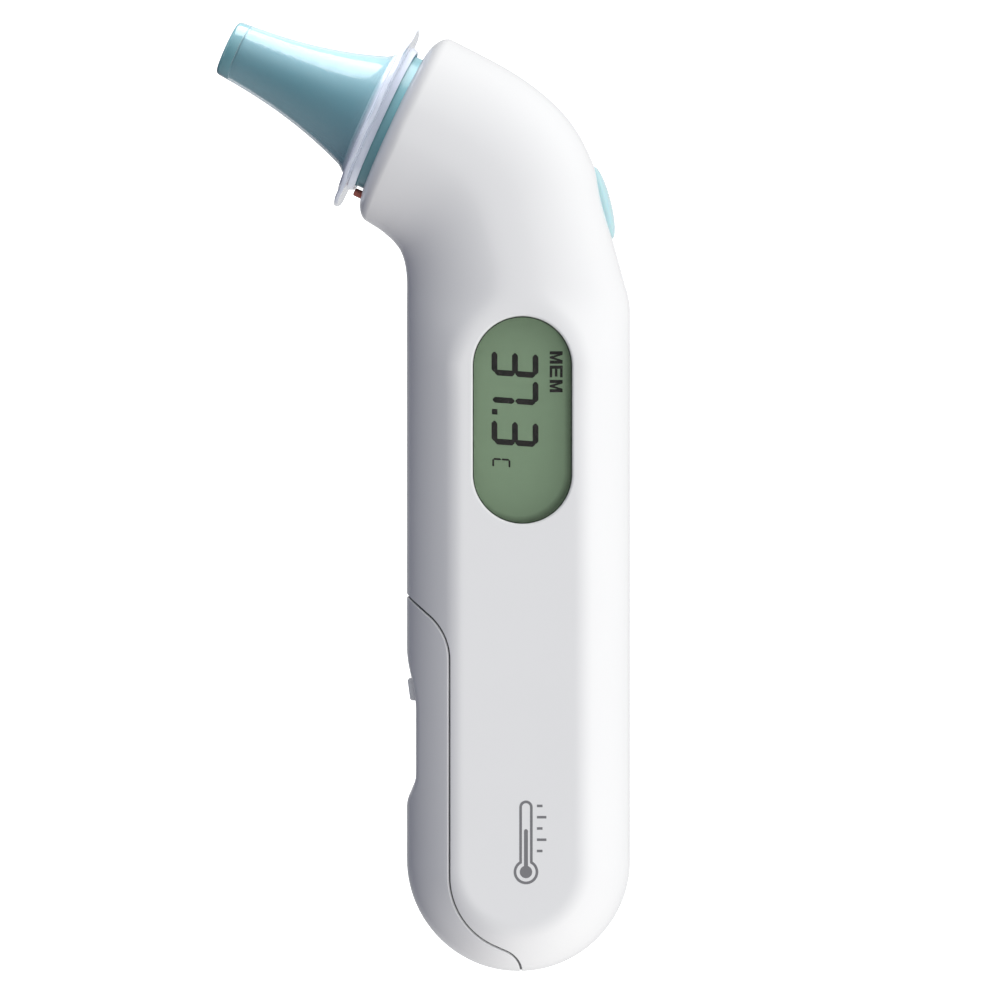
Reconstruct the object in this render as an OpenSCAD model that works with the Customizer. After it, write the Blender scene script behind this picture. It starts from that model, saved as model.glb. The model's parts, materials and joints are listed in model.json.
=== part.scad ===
// Digital ear thermometer: two housing halves, a swinging battery door, a probe with a clip-on lens filter,
// an ejector ring, two buttons and the electronics inside.
// It stands upright: the display faces -Y, the probe points to -X and the batteries are at the bottom.

/* [Handle] */
// Width of the handle across its round sides
handle_w = 32.4; // [32:0.1:32.8]
// Thickness of the handle across its two flat faces
handle_t = 29; // [29:0.1:29.6]
// Width of each flat face
flat_w = 19.34; // [19.2:0.02:19.5]
// Height at which the straight handle turns into the head
handle_top = 87.3; // [87.2:0.1:87.4]
// Wall thickness of the housing
wall = 1.8; // [1.6:0.1:1.8]

/* [Head] */
// Distance of the nose face in front of the handle's centre line
nose_x = 18; // [17.9:0.1:18.1]
// Height of the centre of the nose face
nose_z = 122.6; // [122.5:0.1:122.7]
// Angle between the probe's axis and the vertical
nose_tilt = 65; // [65:0.5:66]
// Radius of the nose rim
nose_r = 14.5; // [14.4:0.05:14.6]
// Thickness of the nose face
nose_plate = 1.9; // [1.8:0.1:2]

/* [Window] */
// Width of the display window
window_w = 14.1; // [14:0.1:14.6]
// Height of the display window
window_h = 29.5; // [29.3:0.1:29.8]
// Sideways position of the window's centre
window_x = 0.5; // [0.4:0.1:0.8]
// Height of the window's centre
window_z = 79.6; // [79.5:0.1:79.8]
// Depth of the window below the flat face
window_recess = 0.45; // [0.3:0.05:0.6]

/* [Battery door] */
// Gap between the door and the housing
seam_gap = 0.16; // [0.12:0.02:0.2]
// Distance of the door's straight seam from the centre line
seam_x = 9.95; // [9.9:0.05:10]
// Depth of the finger dish in the door
dish_depth = 1.4; // [1:0.1:1.5]

/* [Probe] */
// Outer radius of the ejector ring
ring_r = 10.25; // [10.2:0.05:10.3]
// Height of the ejector ring above the nose
ring_out = 2.8; // [2.6:0.1:2.8]
// Length of the lens filter from the nose to its tip
filter_len = 26.7; // [26.6:0.1:27]
// Radius of the filter's flange
flange_r = 14.35; // [14:0.05:14.4]
// Wall thickness of the lens filter
filter_wall = 0.45; // [0.4:0.05:0.45]
// Gap between moving round parts
run_gap = 0.06; // [0.04:0.01:0.08]

/* [Buttons] */
// Length of the start button
start_len = 10.8; // [10:0.1:11]
// Width of the start button
start_w = 8; // [7:0.1:8.4]
// Height of the start button's dome
start_dome = 1.15; // [0.8:0.05:1.3]
// Width of the memory button
memory_w = 6.8; // [6:0.1:7]

/* [Batteries] */
// Diameter of a coin cell
cell_d = 20; // [19.8:0.1:20]
// Thickness of a coin cell
cell_t = 3.2; // [3.1:0.1:3.2]

/* [Hidden] */
$fn = 96;
FAR = 60;

// Handle section: two large side arcs cut by two flats
half_w = handle_w / 2;
half_t = handle_t / 2;
half_flat = flat_w / 2;
side_c = (half_t * half_t + half_flat * half_flat - half_w * half_w) / (2 * (half_w - half_flat));
side_r = half_w + side_c;

// Head stations: inner edge [x, z], outer edge [x, z], half thickness, squareness of the outer half
HEAD = [
    [[-16.08, handle_top], [16.08, handle_top], 17.9, 2],
    [[-16.2, 92], [16.2, 91.5], 16.6, 2],
    [[-16.2, 96.5], [16.1, 96.6], 14.8, 2],
    [[-16.2, 100.2], [15.1, 100.5], 14.4, 2.2],
    [[-16.5, 102.6], [13.6, 106], 14.4, 2.3],
    [[-17, 104.1], [12.3, 111.3], 14.4, 2.3],
    [[-17.5, 104.95], [10.9, 116.6], 14.4, 2.3],
    [[-18.2, 105.8], [8.2, 122], 14.4, 2.2],
    [[-19, 106.55], [4.4, 126.3], 14.4, 2.1],
    [[-20.2, 107.5], [-1.2, 130.4], 14.45, 2],
    nose_station(2.3, nose_r, 0.15)
];
// Nose rounding: depth behind the nose face, radius, sideways shift
NOSE = [
    [1.7, nose_r - 0.1, 0.12], [1.1, nose_r - 0.55, 0.09],
    [0.6, 13.1, 0.06], [0.22, 12, 0.03], [0, 10.9, 0]
];
RING_POINTS = 48;
RING_STEPS = 3;

// Door seam: a sloping line, three arcs and two straight stretches
seam_top = [-12.9, 51.7];
seam_slope = 50.5;
seam_r1 = (-seam_top[0] - seam_x) / (1 - cos(seam_slope));
seam_r2 = 11.08;
seam_z2 = 14.6;
seam_turn = 65;
seam_r3 = 3.9;
seam_end = 0.35;
// Door hooks: inner face, outer face, bottom and top, and how far they stand from the middle plane
hook_x = [-13.3, -12.2];
hook_z = [49.5, 56.5];
hook_off = 2.5;
hook_w = 3;
// Closing tongue at the door's foot
tongue_w = 6;
tongue_x = [-4.6, 2.4];
tongue_z = [3.5, 4.5];

// Screw places on the back, in x and z, and how far their posts reach into the wall
SCREWS = [[4.5, 12, 13.6], [6, 52, 13.6], [-4.2, 113, 12.4]];
screw_seat_y = 4;
screw_head_r = 1.95;
screw_head_h = 1.3;
thread_r = 0.9;
post_top_y = 1.9;
post_r = 2.6;
boss_r = 3.4;

// Printed circuit board, standing behind the display
pcb_front = -6.9;
pcb_t = 1;
pcb_back = pcb_front + pcb_t;
pcb_half = 10.5;
pcb_z = [40, 99];
// Display glass, two plates thick, with its connecting strip along its left edge
lcd_x = [-7.1, 8.3];
lcd_z = [64.2, 95.2];
lcd_front = -10.9;
glass_t = 0.9;
strip_x = [-6.9, -5.5];
strip_z = [66, 93];

// Coin cells, one behind the other along X
cell_z = 27;
cell_front = -9;
cell_back = cell_front + 2 * cell_t;
contact_t = 0.4;
holder_half = 11.6;
holder_front = cell_front - contact_t;
holder_back = cell_back + 1.2;
holder_top = 38;
holder_bottom = 15.2;

// Start button frame: middle of its seat and tilt of its axis
start_x = 12.25;
start_z = 111.3;
start_tilt = 75.7;
start_skirt = 3;
start_flange = 0.9;
stem_r = 1.5;
// Start switch board below the seat, along the button's axis
start_board_h = 11.1;
start_board_w = 10;
// Memory button: height of its middle, its height, its outer face and its inner end
memory_z = 40.8;
memory_h = 3.1;
memory_x = [-16.05, -12.6];

// Foremost point of the filter's tip, and the place of the handle's centre line
tip_reach = nose_x + 1 + (filter_len - 1) * sin(nose_tilt) + (cone_r(filter_len - 1) - 1) * cos(nose_tilt);
axis_x = (tip_reach - half_w) / 2;

// Filter detector pin, its distance from the probe's axis, its collar and its spring
pin_r = 0.58;
pin_off = 11.2;
pin_collar_r = 0.85;
spring_pitch = 0.6;
spring_base = 6.95;

// Probe cone: radius of its base, and its mounting flange behind the nose face
base_r = ring_r - 1.4;
mount_face = 7.2;
mount_t = 1;
mount_back = mount_face + mount_t;
mount_r = 10.7;
tip_h = filter_len - 1.8;
// Depth of the ejector ring's foot behind the nose face
ring_foot = 6.8;
// Thermopile can and its leads
can_r = 4.1;
lead_off = 2.5;

// ---------- curves and frames ----------

function nose_axis() = [-sin(nose_tilt), cos(nose_tilt)];
function nose_across() = [cos(nose_tilt), sin(nose_tilt)];
// A point of the middle plane, given behind the nose face and across it
function nose_point(behind, across) = [-nose_x, nose_z] - behind * nose_axis() + across * nose_across();
// A round head station behind the nose face
function nose_station(behind, r, shift) =
    [nose_point(behind, shift - r), nose_point(behind, shift + r), r, 2];

function catmull(a, b, c, d, t) =
    0.5 * (2 * b + (c - a) * t + (2 * a - 5 * b + 4 * c - d) * t * t + (3 * b - a - 3 * c + d) * t * t * t);

function head_at(i, t) =
    let (last = len(HEAD) - 1)
    let (a = HEAD[max(i - 1, 0)], b = HEAD[i], c = HEAD[min(i + 1, last)], d = HEAD[min(i + 2, last)])
    [for (k = [0:3]) catmull(a[k], b[k], c[k], d[k], t)];

// Closed curve of one station, set in from the surface
function station_curve(s, inset) =
    let (mid = (s[0] + s[1]) / 2, span = s[1] - s[0], a = norm(span) / 2 - inset, dir = span / norm(span))
    [for (j = [0:RING_POINTS - 1])
        let (c = cos(360 * j / RING_POINTS), w = sin(360 * j / RING_POINTS), p = 2 / (c > 0 ? s[3] : 2))
        let (u = a * sign(c) * pow(abs(c), p), v = (s[2] - inset) * sign(w) * pow(abs(w), p))
        [mid[0] + u * dir[0], v, mid[1] + u * dir[1]]];

function head_curves(inset) =
    [for (i = [0:len(HEAD) - 2], k = [0:RING_STEPS - 1]) station_curve(head_at(i, k / RING_STEPS), inset)];

function arc(c, r, from, to, steps) =
    [for (k = [0:steps]) c + r * [cos(from + (to - from) * k / steps), sin(from + (to - from) * k / steps)]];

// The seam line in x and z, moved by g towards the housing
function seam(g) =
    let (
        out = [cos(seam_slope), sin(seam_slope)],
        c1 = seam_top - seam_r1 * out,
        c2 = [seam_r2 - seam_x, seam_z2],
        turn = 180 + seam_turn,
        low = c2 + seam_r2 * [cos(turn), sin(turn)],
        reach = (seam_end - seam_r3 * (1 - cos(seam_turn)) - low[0]) / sin(seam_turn),
        c3 = low + reach * [sin(seam_turn), -cos(seam_turn)] - seam_r3 * [cos(seam_turn), sin(seam_turn)],
        start = c1 + (seam_r1 + g) * out + 8 * [-out[1], out[0]]
    )
    concat(
        [start], arc(c1, seam_r1 + g, seam_slope, 0, 8), arc(c2, seam_r2 - g, 180, turn, 10),
        arc(c3, seam_r3 + g, seam_turn, 0, 8), [[seam_end + g, -5]]
    );

function ease(s) = let (c = min(max(s, 0), 1)) c * c * (3 - 2 * c);
// Outer edge of the finger dish at height z
function dish_x(z) = -half_w + dish_depth * ease((z - 24) / 4.6) * (1 - ease((z - 38) / 9));

// Moves the handle's centre line so that the origin lies under the middle of the whole object
module placed() {
    translate([axis_x, 0, 0])
        children();
}

module along_y(y0, y1) {
    translate([0, y1, 0])
        rotate([90, 0, 0])
            linear_extrude(y1 - y0)
                children();
}

module box(x0, x1, y0, y1, z0, z1) {
    translate([x0, y0, z0])
        cube([x1 - x0, y1 - y0, z1 - z0]);
}

module rod_y(x, z, r, y0, y1) {
    along_y(y0, y1)
        translate([x, z])
            circle(r);
}

module rod_x(y, z, r, x0, x1) {
    translate([x0, y, z])
        rotate([0, 90, 0])
            cylinder(r = r, h = x1 - x0);
}

// Origin in the nose face, +Z out along the probe, +X upwards across it
module at_nose() {
    translate([-nose_x, 0, nose_z])
        rotate([0, -nose_tilt, 0])
            children();
}

// Origin in the middle of the start button's seat, +Z out of the body, +X down along it
module at_start() {
    translate([start_x, 0, start_z])
        rotate([0, start_tilt, 0])
            children();
}

module tube(r_out, r_in, z0, z1) {
    translate([0, 0, z0])
        difference() {
            cylinder(r = r_out, h = z1 - z0);
            translate([0, 0, -1])
                cylinder(r = r_in, h = z1 - z0 + 2);
        }
}

module stadium(w, h) {
    translate([window_x, window_z]) {
        square([w, h - w], center = true);
        for (s = [-1, 1])
            translate([0, s * (h - w) / 2])
                circle(w / 2);
    }
}

module oval(length, width) {
    polygon([for (j = [0:47]) [length / 2 * cos(7.5 * j), width / 2 * sin(7.5 * j)]]);
}

// ---------- body shape ----------

module handle_section(inset) {
    intersection() {
        translate([-side_c, 0])
            circle(side_r - inset);
        translate([side_c, 0])
            circle(side_r - inset);
        square([handle_w, handle_t - 2 * inset], center = true);
    }
}

// Straight handle and its round foot, set in from the surface
module handle_solid(inset) {
    translate([0, 0, half_w])
        linear_extrude(handle_top - half_w)
            handle_section(inset);
    translate([0, 0, half_w])
        rotate([-90, 0, 0])
            rotate_extrude(angle = 180)
                intersection() {
                    handle_section(inset);
                    translate([0, -FAR / 2])
                        square([FAR, FAR]);
                }
}

module curves_solid(curves) {
    n = RING_POINTS;
    last = len(curves) - 1;
    polyhedron(
        points = [for (c = curves) each c],
        faces = concat(
            [[for (j = [0:n - 1]) j]],
            [[for (j = [n - 1:-1:0]) last * n + j]],
            [for (i = [0:n:last * n - 1], j = [0:n - 1]) [i + j, i + n + j, i + n + (j + 1) % n]],
            [for (i = [0:n:last * n - 1], j = [0:n - 1]) [i + j, i + n + (j + 1) % n, i + (j + 1) % n]]
        )
    );
}

module head_solid() {
    intersection() {
        curves_solid(concat(
            head_curves(0), [station_curve(HEAD[len(HEAD) - 1], 0)],
            [for (s = NOSE) station_curve(nose_station(s[0], s[1], s[2]), 0)]
        ));
        box(-FAR, FAR, -half_t, half_t, 0, 3 * FAR);
    }
}

module head_cavity() {
    intersection() {
        curves_solid(concat(
            head_curves(wall), [station_curve(nose_station(nose_plate, nose_r, 0.15), wall)]
        ));
        box(-FAR, FAR, wall - half_t, half_t - wall, 0, 3 * FAR);
    }
}

module door_region(g) {
    along_y(-FAR, FAR)
        polygon(concat(seam(g), [[-FAR / 2, -5], [-FAR / 2, FAR]]));
}

// Everything in front of the finger dish, moved by shift towards the handle's middle
module dish(shift) {
    along_y(-FAR, FAR)
        polygon(concat(
            [for (z = [22:1.25:49.5]) [dish_x(z) + shift, z]], [[-FAR / 2, 49.5], [-FAR / 2, 22]]
        ));
}

// Half of the housing: side is -1 for the display side and 1 for the back
module housing_half(side) {
    y0 = side < 0 ? -FAR : 0;
    difference() {
        intersection() {
            union() {
                handle_solid(0);
                head_solid();
            }
            box(-FAR, FAR, y0, y0 + FAR, -1, 3 * FAR);
        }
        handle_solid(wall);
        head_cavity();
        door_region(seam_gap / 2);
        at_start()
            translate([0, 0, -5])
                linear_extrude(10)
                    oval(start_len + 0.3, start_w + 0.3);
        at_nose() {
            translate([0, 0, -5])
                cylinder(r = ring_r + run_gap, h = 10);
            translate([-pin_off, 0, -5])
                cylinder(r = pin_r + run_gap, h = 10);
        }
    }
    intersection() {
        union() {
            probe_rib();
            start_board_rib();
        }
        box(-FAR, FAR, y0, y0 + FAR, 0, 3 * FAR);
    }
}

// Rib behind the probe's mounting flange
module probe_rib() {
    at_nose()
        difference() {
            tube(13.2, 10.1, -mount_back - 1.2, -mount_back - 0.05);
            translate([-10, 0, -mount_back - 1])
                cube([8, 5, 6], center = true);
        }
}

// Slotted posts that hold the start switch's board by its edges
module start_board_rib() {
    at_start()
        difference() {
            for (side = [-1, 1])
                translate([0, side * (start_board_w / 2 + 3.4), -start_board_h])
                    cube([9, 7.4, 3], center = true);
            translate([0, 0, -start_board_h])
                cube([9.1, start_board_w + 0.1, 1.06], center = true);
        }
}

// ---------- casing ----------

module display_side_housing() {
    color("white") placed() {
        difference() {
            housing_half(-1);
            along_y(-FAR, -5)
                stadium(window_w, window_h);
        }
        for (s = SCREWS)
            difference() {
                rod_y(s[0], s[1], post_r, -s[2], post_top_y);
                rod_y(s[0], s[1], thread_r + 0.02, -8, FAR);
            }
    }
}

module back_side_housing() {
    color("white") placed()
        difference() {
            union() {
                housing_half(1);
                for (s = SCREWS)
                    rod_y(s[0], s[1], boss_r, post_top_y + 0.05, s[2]);
            }
            for (s = SCREWS) {
                rod_y(s[0], s[1], screw_head_r + 0.25, screw_seat_y, FAR);
                rod_y(s[0], s[1], thread_r + 0.2, 0, FAR);
            }
        }
}

module battery_door() {
    color("whitesmoke") placed()
        difference() {
            union() {
                intersection() {
                    difference() {
                        handle_solid(0);
                        dish(0);
                        difference() {
                            handle_solid(wall);
                            dish(wall - 0.1);
                        }
                    }
                    door_region(-seam_gap / 2);
                }
                // Two hooks that reach behind the housing's edge
                for (side = [-1, 1])
                    translate([0, side * hook_off, 0]) {
                        box(hook_x[0], hook_x[1], -hook_w / 2, hook_w / 2, hook_z[0], hook_z[1]);
                        box(hook_x[0] - 1.6, hook_x[1], -hook_w / 2, hook_w / 2, hook_z[0], hook_z[0] + 1.7);
                    }
                // Closing tongue that reaches into the housing's foot
                box(tongue_x[0], tongue_x[1], -tongue_w / 2, tongue_w / 2, tongue_z[0], tongue_z[1]);
                box(tongue_x[0], tongue_x[0] + 1.2, -tongue_w / 2, tongue_w / 2, 2, tongue_z[1]);
            }
            memory_opening(0.3);
        }
}

module memory_opening(gap) {
    reach = memory_w / 2 + gap;
    box(-FAR, -8, -reach, reach, memory_z - memory_h / 2 - gap, memory_z + memory_h / 2 + gap + 0.2);
}

module display_window() {
    color("lightgreen", 0.4) placed() {
        along_y(window_recess - half_t, wall - half_t)
            stadium(window_w - 0.1, window_h - 0.1);
        along_y(wall - half_t, wall - half_t + 0.8)
            stadium(window_w + 1.6, window_h + 1.6);
    }
}

module window_gasket() {
    color("dimgray") placed()
        difference() {
            along_y(wall - half_t + 0.8, lcd_front)
                stadium(window_w + 1.4, window_h + 1.4);
            along_y(-FAR, 0)
                stadium(window_w + 0.2, window_h + 0.2);
        }
}

module housing_screws() {
    color("silver") placed()
        for (s = SCREWS)
            difference() {
                union() {
                    rod_y(s[0], s[1], thread_r, -6, screw_seat_y);
                    rod_y(s[0], s[1], screw_head_r, screw_seat_y, screw_seat_y + screw_head_h);
                }
                for (turn = [0, 90])
                    translate([s[0], screw_seat_y + screw_head_h, s[1]])
                        rotate([0, turn, 0])
                            cube([2.2, 1.4, 0.45], center = true);
            }
}

// ---------- display and electronics ----------

module lcd_panel() {
    color("darkseagreen") placed() {
        box(lcd_x[0], lcd_x[1], lcd_front, lcd_front + glass_t, lcd_z[0], lcd_z[1]);
        box(lcd_x[0] + 1.9, lcd_x[1], lcd_front + glass_t, lcd_front + 2 * glass_t, lcd_z[0], lcd_z[1]);
    }
}

module lcd_frame() {
    color("white") placed() {
        difference() {
            box(lcd_x[0] - 0.9, lcd_x[1] + 0.9, lcd_front + 1.05, pcb_front, lcd_z[0] - 0.9, lcd_z[1] + 0.9);
            box(lcd_x[0] - 0.05, lcd_x[1] + 0.05, -FAR, 0, lcd_z[0] - 0.05, lcd_z[1] + 0.05);
        }
        // Ledge behind the glass
        box(lcd_x[1] - 1.4, lcd_x[1] + 0.3, lcd_front + 2 * glass_t, pcb_front, lcd_z[0], lcd_z[1]);
    }
}

module lcd_contact_strip() {
    color("pink") placed()
        box(strip_x[0], strip_x[1], lcd_front + glass_t, pcb_front, strip_z[0], strip_z[1]);
}

module main_circuit_board() {
    color("seagreen") placed()
        difference() {
            box(-pcb_half, pcb_half, pcb_front, pcb_back, pcb_z[0], pcb_z[1]);
            rod_y(SCREWS[1][0], SCREWS[1][1], post_r + 0.4, -FAR, FAR);
        }
}

module microcontroller() {
    color("black") placed()
        box(-5, 5, pcb_back, pcb_back + 1.4, 68, 78);
    color("silver") placed()
        for (k = [0:9], side = [-1, 1])
            translate([side * 5.5 - 0.5, pcb_back, 68.6 + 0.9 * k])
                cube([1, 0.25, 0.3]);
}

module memory_chip() {
    color("black") placed()
        box(-8.2, -4.2, pcb_back, pcb_back + 1.5, 84, 89);
}

module quartz_crystal() {
    color("silver") placed()
        translate([7.6, pcb_back + 1.5, 68])
            cylinder(r = 1.5, h = 8);
}

module board_components() {
    color("tan") placed() {
        for (k = [0:5])
            box(-9, -7.4, pcb_back, pcb_back + 0.7, 50 + 3 * k, 51.2 + 3 * k);
        for (k = [0:4])
            box(-3 + 2.4 * k, -1.8 + 2.4 * k, pcb_back, pcb_back + 0.6, 61, 62.8);
        for (k = [0:2])
            box(-1 + 3.6 * k, 1.4 + 3.6 * k, pcb_back, pcb_back + 1.1, 84, 87);
    }
}

module buzzer_disc() {
    color("gold") placed()
        rod_y(-2, 50.5, 5.2, wall - half_t, wall - half_t + 0.5);
    color("white") placed()
        rod_y(-2, 50.5, 3.6, wall - half_t + 0.5, wall - half_t + 0.9);
}

module buzzer_springs() {
    color("silver") placed()
        for (x = [-6.4, -2])
            rod_y(x, 50.5, 0.6, wall - half_t + (x < -3 ? 0.5 : 0.9), pcb_front);
}

module switch_body(size, bore_depth) {
    difference() {
        translate([-size[0] / 2, -size[1] / 2, -size[2]])
            cube(size);
        translate([0, 0, -bore_depth])
            cylinder(r = stem_r + run_gap, h = bore_depth + 1);
    }
}

module memory_switch() {
    color("darkgray") placed() {
        translate([-10.4, 0, memory_z])
            rotate([0, -90, 0])
                switch_body([5, 6, 4.4], 2);
        // Foot on the circuit board
        box(-10.4, -6, pcb_back, -3, memory_z - 2.5, memory_z + 2.5);
    }
}

module memory_button() {
    color("lightgray") placed() {
        translate([memory_x[0], -memory_w / 2, memory_z - memory_h / 2])
            cube([memory_x[1] - memory_x[0], memory_w, memory_h]);
        rod_x(0, memory_z, stem_r, memory_x[1], -9.2);
    }
}

module start_switch_board() {
    color("seagreen") placed()
        at_start()
            translate([0, 0, -start_board_h])
                cube([9, start_board_w, 1], center = true);
}

module start_switch() {
    color("darkgray") placed()
        at_start()
            translate([0, 0, -6.6])
                switch_body([6, 6, 4], 2.4);
}

module start_switch_flex() {
    color("orange") placed() {
        along_y(-4.6, -1.4)
            polygon([
                [0.4, 108], [0.1, 103.5], [2.5, 99.8], [2.5, 94],
                [2.8, 94], [2.8, 99.9], [0.4, 103.6], [0.7, 107.9]
            ]);
        // End soldered to the circuit board
        box(2.5, 2.8, pcb_back, -4.6, 94, 97);
    }
}

module start_button() {
    color("lightblue") placed()
        at_start() {
            curves_solid([for (k = [0:5])
                let (a = 90 * k / 6, f = cos(a), h = start_dome * sin(a))
                [for (j = [0:RING_POINTS - 1])
                    let (t = 360 * j / RING_POINTS)
                    [start_len / 2 * f * cos(t), start_w / 2 * f * sin(t), h]]]);
            translate([0, 0, -start_skirt])
                linear_extrude(start_skirt)
                    oval(start_len, start_w);
            translate([0, 0, -start_skirt - 0.6])
                linear_extrude(start_flange)
                    oval(start_len + 1.2, start_w + 1.2);
            translate([0, 0, -7.8])
                cylinder(r = stem_r, h = 4.8);
        }
}

// ---------- probe ----------

// Outer radius of the filter's cone at height h above the nose
function cone_r(h) = let (s = 1 - (h - 5) / 20) 4.25 + 1.7 * s + 2.65 * pow(max(s, 0), 2.3);

module probe_cone() {
    slack = filter_wall + 0.1;
    color("cadetblue") placed()
        at_nose()
            difference() {
                rotate_extrude()
                    polygon(concat(
                        [[base_r, -mount_face], [base_r, 2.9], [base_r - 0.1, 3.4]],
                        [for (h = [5:1.5:tip_h - 1]) [cone_r(h) - slack, h]],
                        [[cone_r(tip_h) - slack - 0.05, tip_h - 0.4], [cone_r(tip_h) - slack - 0.4, tip_h]],
                        [[2.62, tip_h], [2.62, tip_h - 2.5]],
                        [for (h = [21.5:-1.5:5]) [cone_r(h) - slack - 1.2, h]],
                        [[base_r - 1.3, 3], [base_r - 1.3, -mount_back]],
                        [[mount_r, -mount_back], [mount_r, -mount_face]]
                    ));
                // Notch in the mounting flange for the detector switch
                translate([-pin_off - 1.55, -2, -FAR])
                    cube([3.1, 4, FAR - ring_foot - 0.1]);
            }
}

module probe_window() {
    color("lightsteelblue", 0.6) placed()
        at_nose()
            translate([0, 0, tip_h - 0.6])
                cylinder(r = 2.6, h = 0.3);
}

module waveguide() {
    color("gold") placed()
        at_nose()
            tube(2.3, 1.9, 6.2, tip_h - 0.7);
}

module thermopile_sensor() {
    color("silver") placed()
        at_nose() {
            translate([0, 0, 1])
                cylinder(r = can_r + 0.5, h = 0.6);
            translate([0, 0, 1.6])
                cylinder(r = can_r, h = 4.4);
            for (a = [45:90:315])
                rotate([0, 0, a])
                    translate([lead_off, 0, -9.4])
                        cylinder(r = 0.23, h = 10.4);
        }
}

module sensor_block() {
    color("lightgray") placed()
        at_nose() {
            tube(can_r + 1.3, can_r + 0.6, -1, 6.1);
            tube(can_r + 1.3, 2.35, 6.1, 8);
        }
}

module sensor_sleeve() {
    color("white") placed()
        at_nose()
            tube(base_r - 1.35, can_r + 1.35, -5, 2);
}

module sensor_board() {
    color("seagreen") placed()
        at_nose()
            difference() {
                translate([0, 0, -mount_back - 1.1]) {
                    cylinder(r = 9.9, h = 1);
                    translate([-13, -2.2, 0])
                        cube([5, 4.4, 1]);
                }
                for (a = [45:90:315])
                    rotate([0, 0, a])
                        translate([lead_off, 0, -FAR])
                            cylinder(r = 0.3, h = FAR);
            }
}

module sensor_connector() {
    color("ivory") placed()
        box(-8, -4, pcb_back, pcb_back + 4, 93.5, 96.5);
}

module sensor_flex() {
    color("orange") placed()
        along_y(pcb_back + 0.5, pcb_back + 3.5)
            polygon([
                [-9.6, 117.6], [-8.5, 112], [-6.2, 104], [-6.2, 96.5],
                [-5.9, 96.5], [-5.9, 104.1], [-8.2, 112.1], [-9.3, 117.7]
            ]);
}

module detector_switch() {
    color("darkgray") placed()
        at_nose()
            difference() {
                translate([-pin_off - 1.5, -1.8, -mount_back - 0.1])
                    cube([3, 3.6, 1.35]);
                translate([-pin_off, 0, -FAR])
                    cylinder(r = pin_r + run_gap, h = FAR);
            }
}

module detector_spring() {
    color("silver") placed()
        at_nose()
            translate([-pin_off, 0, 0])
                for (k = [0:6])
                    tube(0.88, 0.66, spring_pitch * k - spring_base, spring_pitch * (k + 0.5) - spring_base);
}

module detector_pin() {
    color("saddlebrown") placed()
        at_nose()
            translate([-pin_off, 0, 0]) {
                translate([0, 0, -7.1])
                    cylinder(r = pin_r, h = 8.3);
                translate([0, 0, -2.9])
                    cylinder(r = pin_collar_r, h = 0.7);
            }
}

module ejector_ring() {
    color("cadetblue") placed()
        at_nose()
            difference() {
                union() {
                    tube(ring_r, base_r + run_gap, -ring_foot, ring_out);
                    tube(mount_r, base_r + run_gap, -ring_foot, 1 - ring_foot);
                }
                // Notch round the detector spring
                translate([-pin_off, 0, -FAR])
                    cylinder(r = pin_collar_r + 0.45, h = FAR - 5.5);
            }
}

module lens_filter() {
    color("lightcyan", 0.5) placed()
        at_nose()
            rotate_extrude()
                polygon(concat(
                    [[ring_r + 0.5, 1.3], [10.95, 1.3], [11.25, 1.5], [11.5, 2.3], [flange_r - 0.15, 2.5]],
                    [[flange_r, 2.65], [flange_r, 3.05], [flange_r - 0.15, 3.2]],
                    [[9.75, 3.45], [9.5, 3.7], [9.35, 4.05], [9, 4.35]],
                    [for (h = [5:1.25:filter_len - 1]) [cone_r(h), h]],
                    arc([cone_r(filter_len - 1) - 1, filter_len - 1], 1, 12, 78, 4),
                    [[3, filter_len], [3, filter_len - 0.3]],
                    [for (h = [filter_len - 0.8:-1.25:5]) [cone_r(h) - filter_wall, h]],
                    [[cone_r(5) - filter_wall + 0.35, 4.2], [base_r + 0.12, 3.5], [base_r + 0.12, 2.95]],
                    [[ring_r + 0.5, 2.9]]
                ));
}

module filter_film() {
    color("white", 0.4) placed()
        at_nose()
            translate([0, 0, filter_len - 0.3])
                cylinder(r = 3, h = 0.1);
}

// ---------- battery compartment ----------

module battery_holder() {
    color("white") placed()
        difference() {
            box(holder_front, holder_back, -holder_half, holder_half, holder_bottom, holder_top);
            rod_x(0, cell_z, cell_d / 2 + 0.12, holder_front - 1, cell_back + contact_t);
            box(cell_back - 0.2, cell_back + contact_t + 0.05, pcb_back - 0.1, -4.3, 30, FAR);
            box(holder_front - 1, cell_front + 0.02, 3.4, 6.6, 34, FAR);
            for (side = [-1, 1])
                translate([0, side * (holder_half + 0.9), cell_z])
                    cube([14, 5, 9], center = true);
        }
}

module front_battery_contact() {
    color("gold") placed() {
        box(holder_front, cell_front, 3.5, 6.5, 33, holder_top + contact_t);
        box(holder_front, -4.2, 3.5, 6.5, holder_top, holder_top + contact_t);
        box(-5.4, -4.2, pcb_back, 6.5, holder_top, holder_top + contact_t);
        box(-5.4, -4.2, pcb_back, pcb_back + contact_t, holder_top, 42);
    }
}

module rear_battery_contact() {
    color("gold") placed() {
        box(cell_back, cell_back + contact_t, -5, 5, 22, 32);
        box(cell_back, cell_back + contact_t, pcb_back, -4.4, 30, 42);
    }
}

module coin_cells() {
    color("silver") placed()
        for (k = [0, 1])
            translate([k * cell_t, 0, 0]) {
                rod_x(0, cell_z, cell_d / 2, cell_front + 0.02, cell_front + cell_t - 0.5);
                rod_x(0, cell_z, cell_d / 2 - 1, cell_front + cell_t - 0.5, cell_front + cell_t);
            }
}

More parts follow.
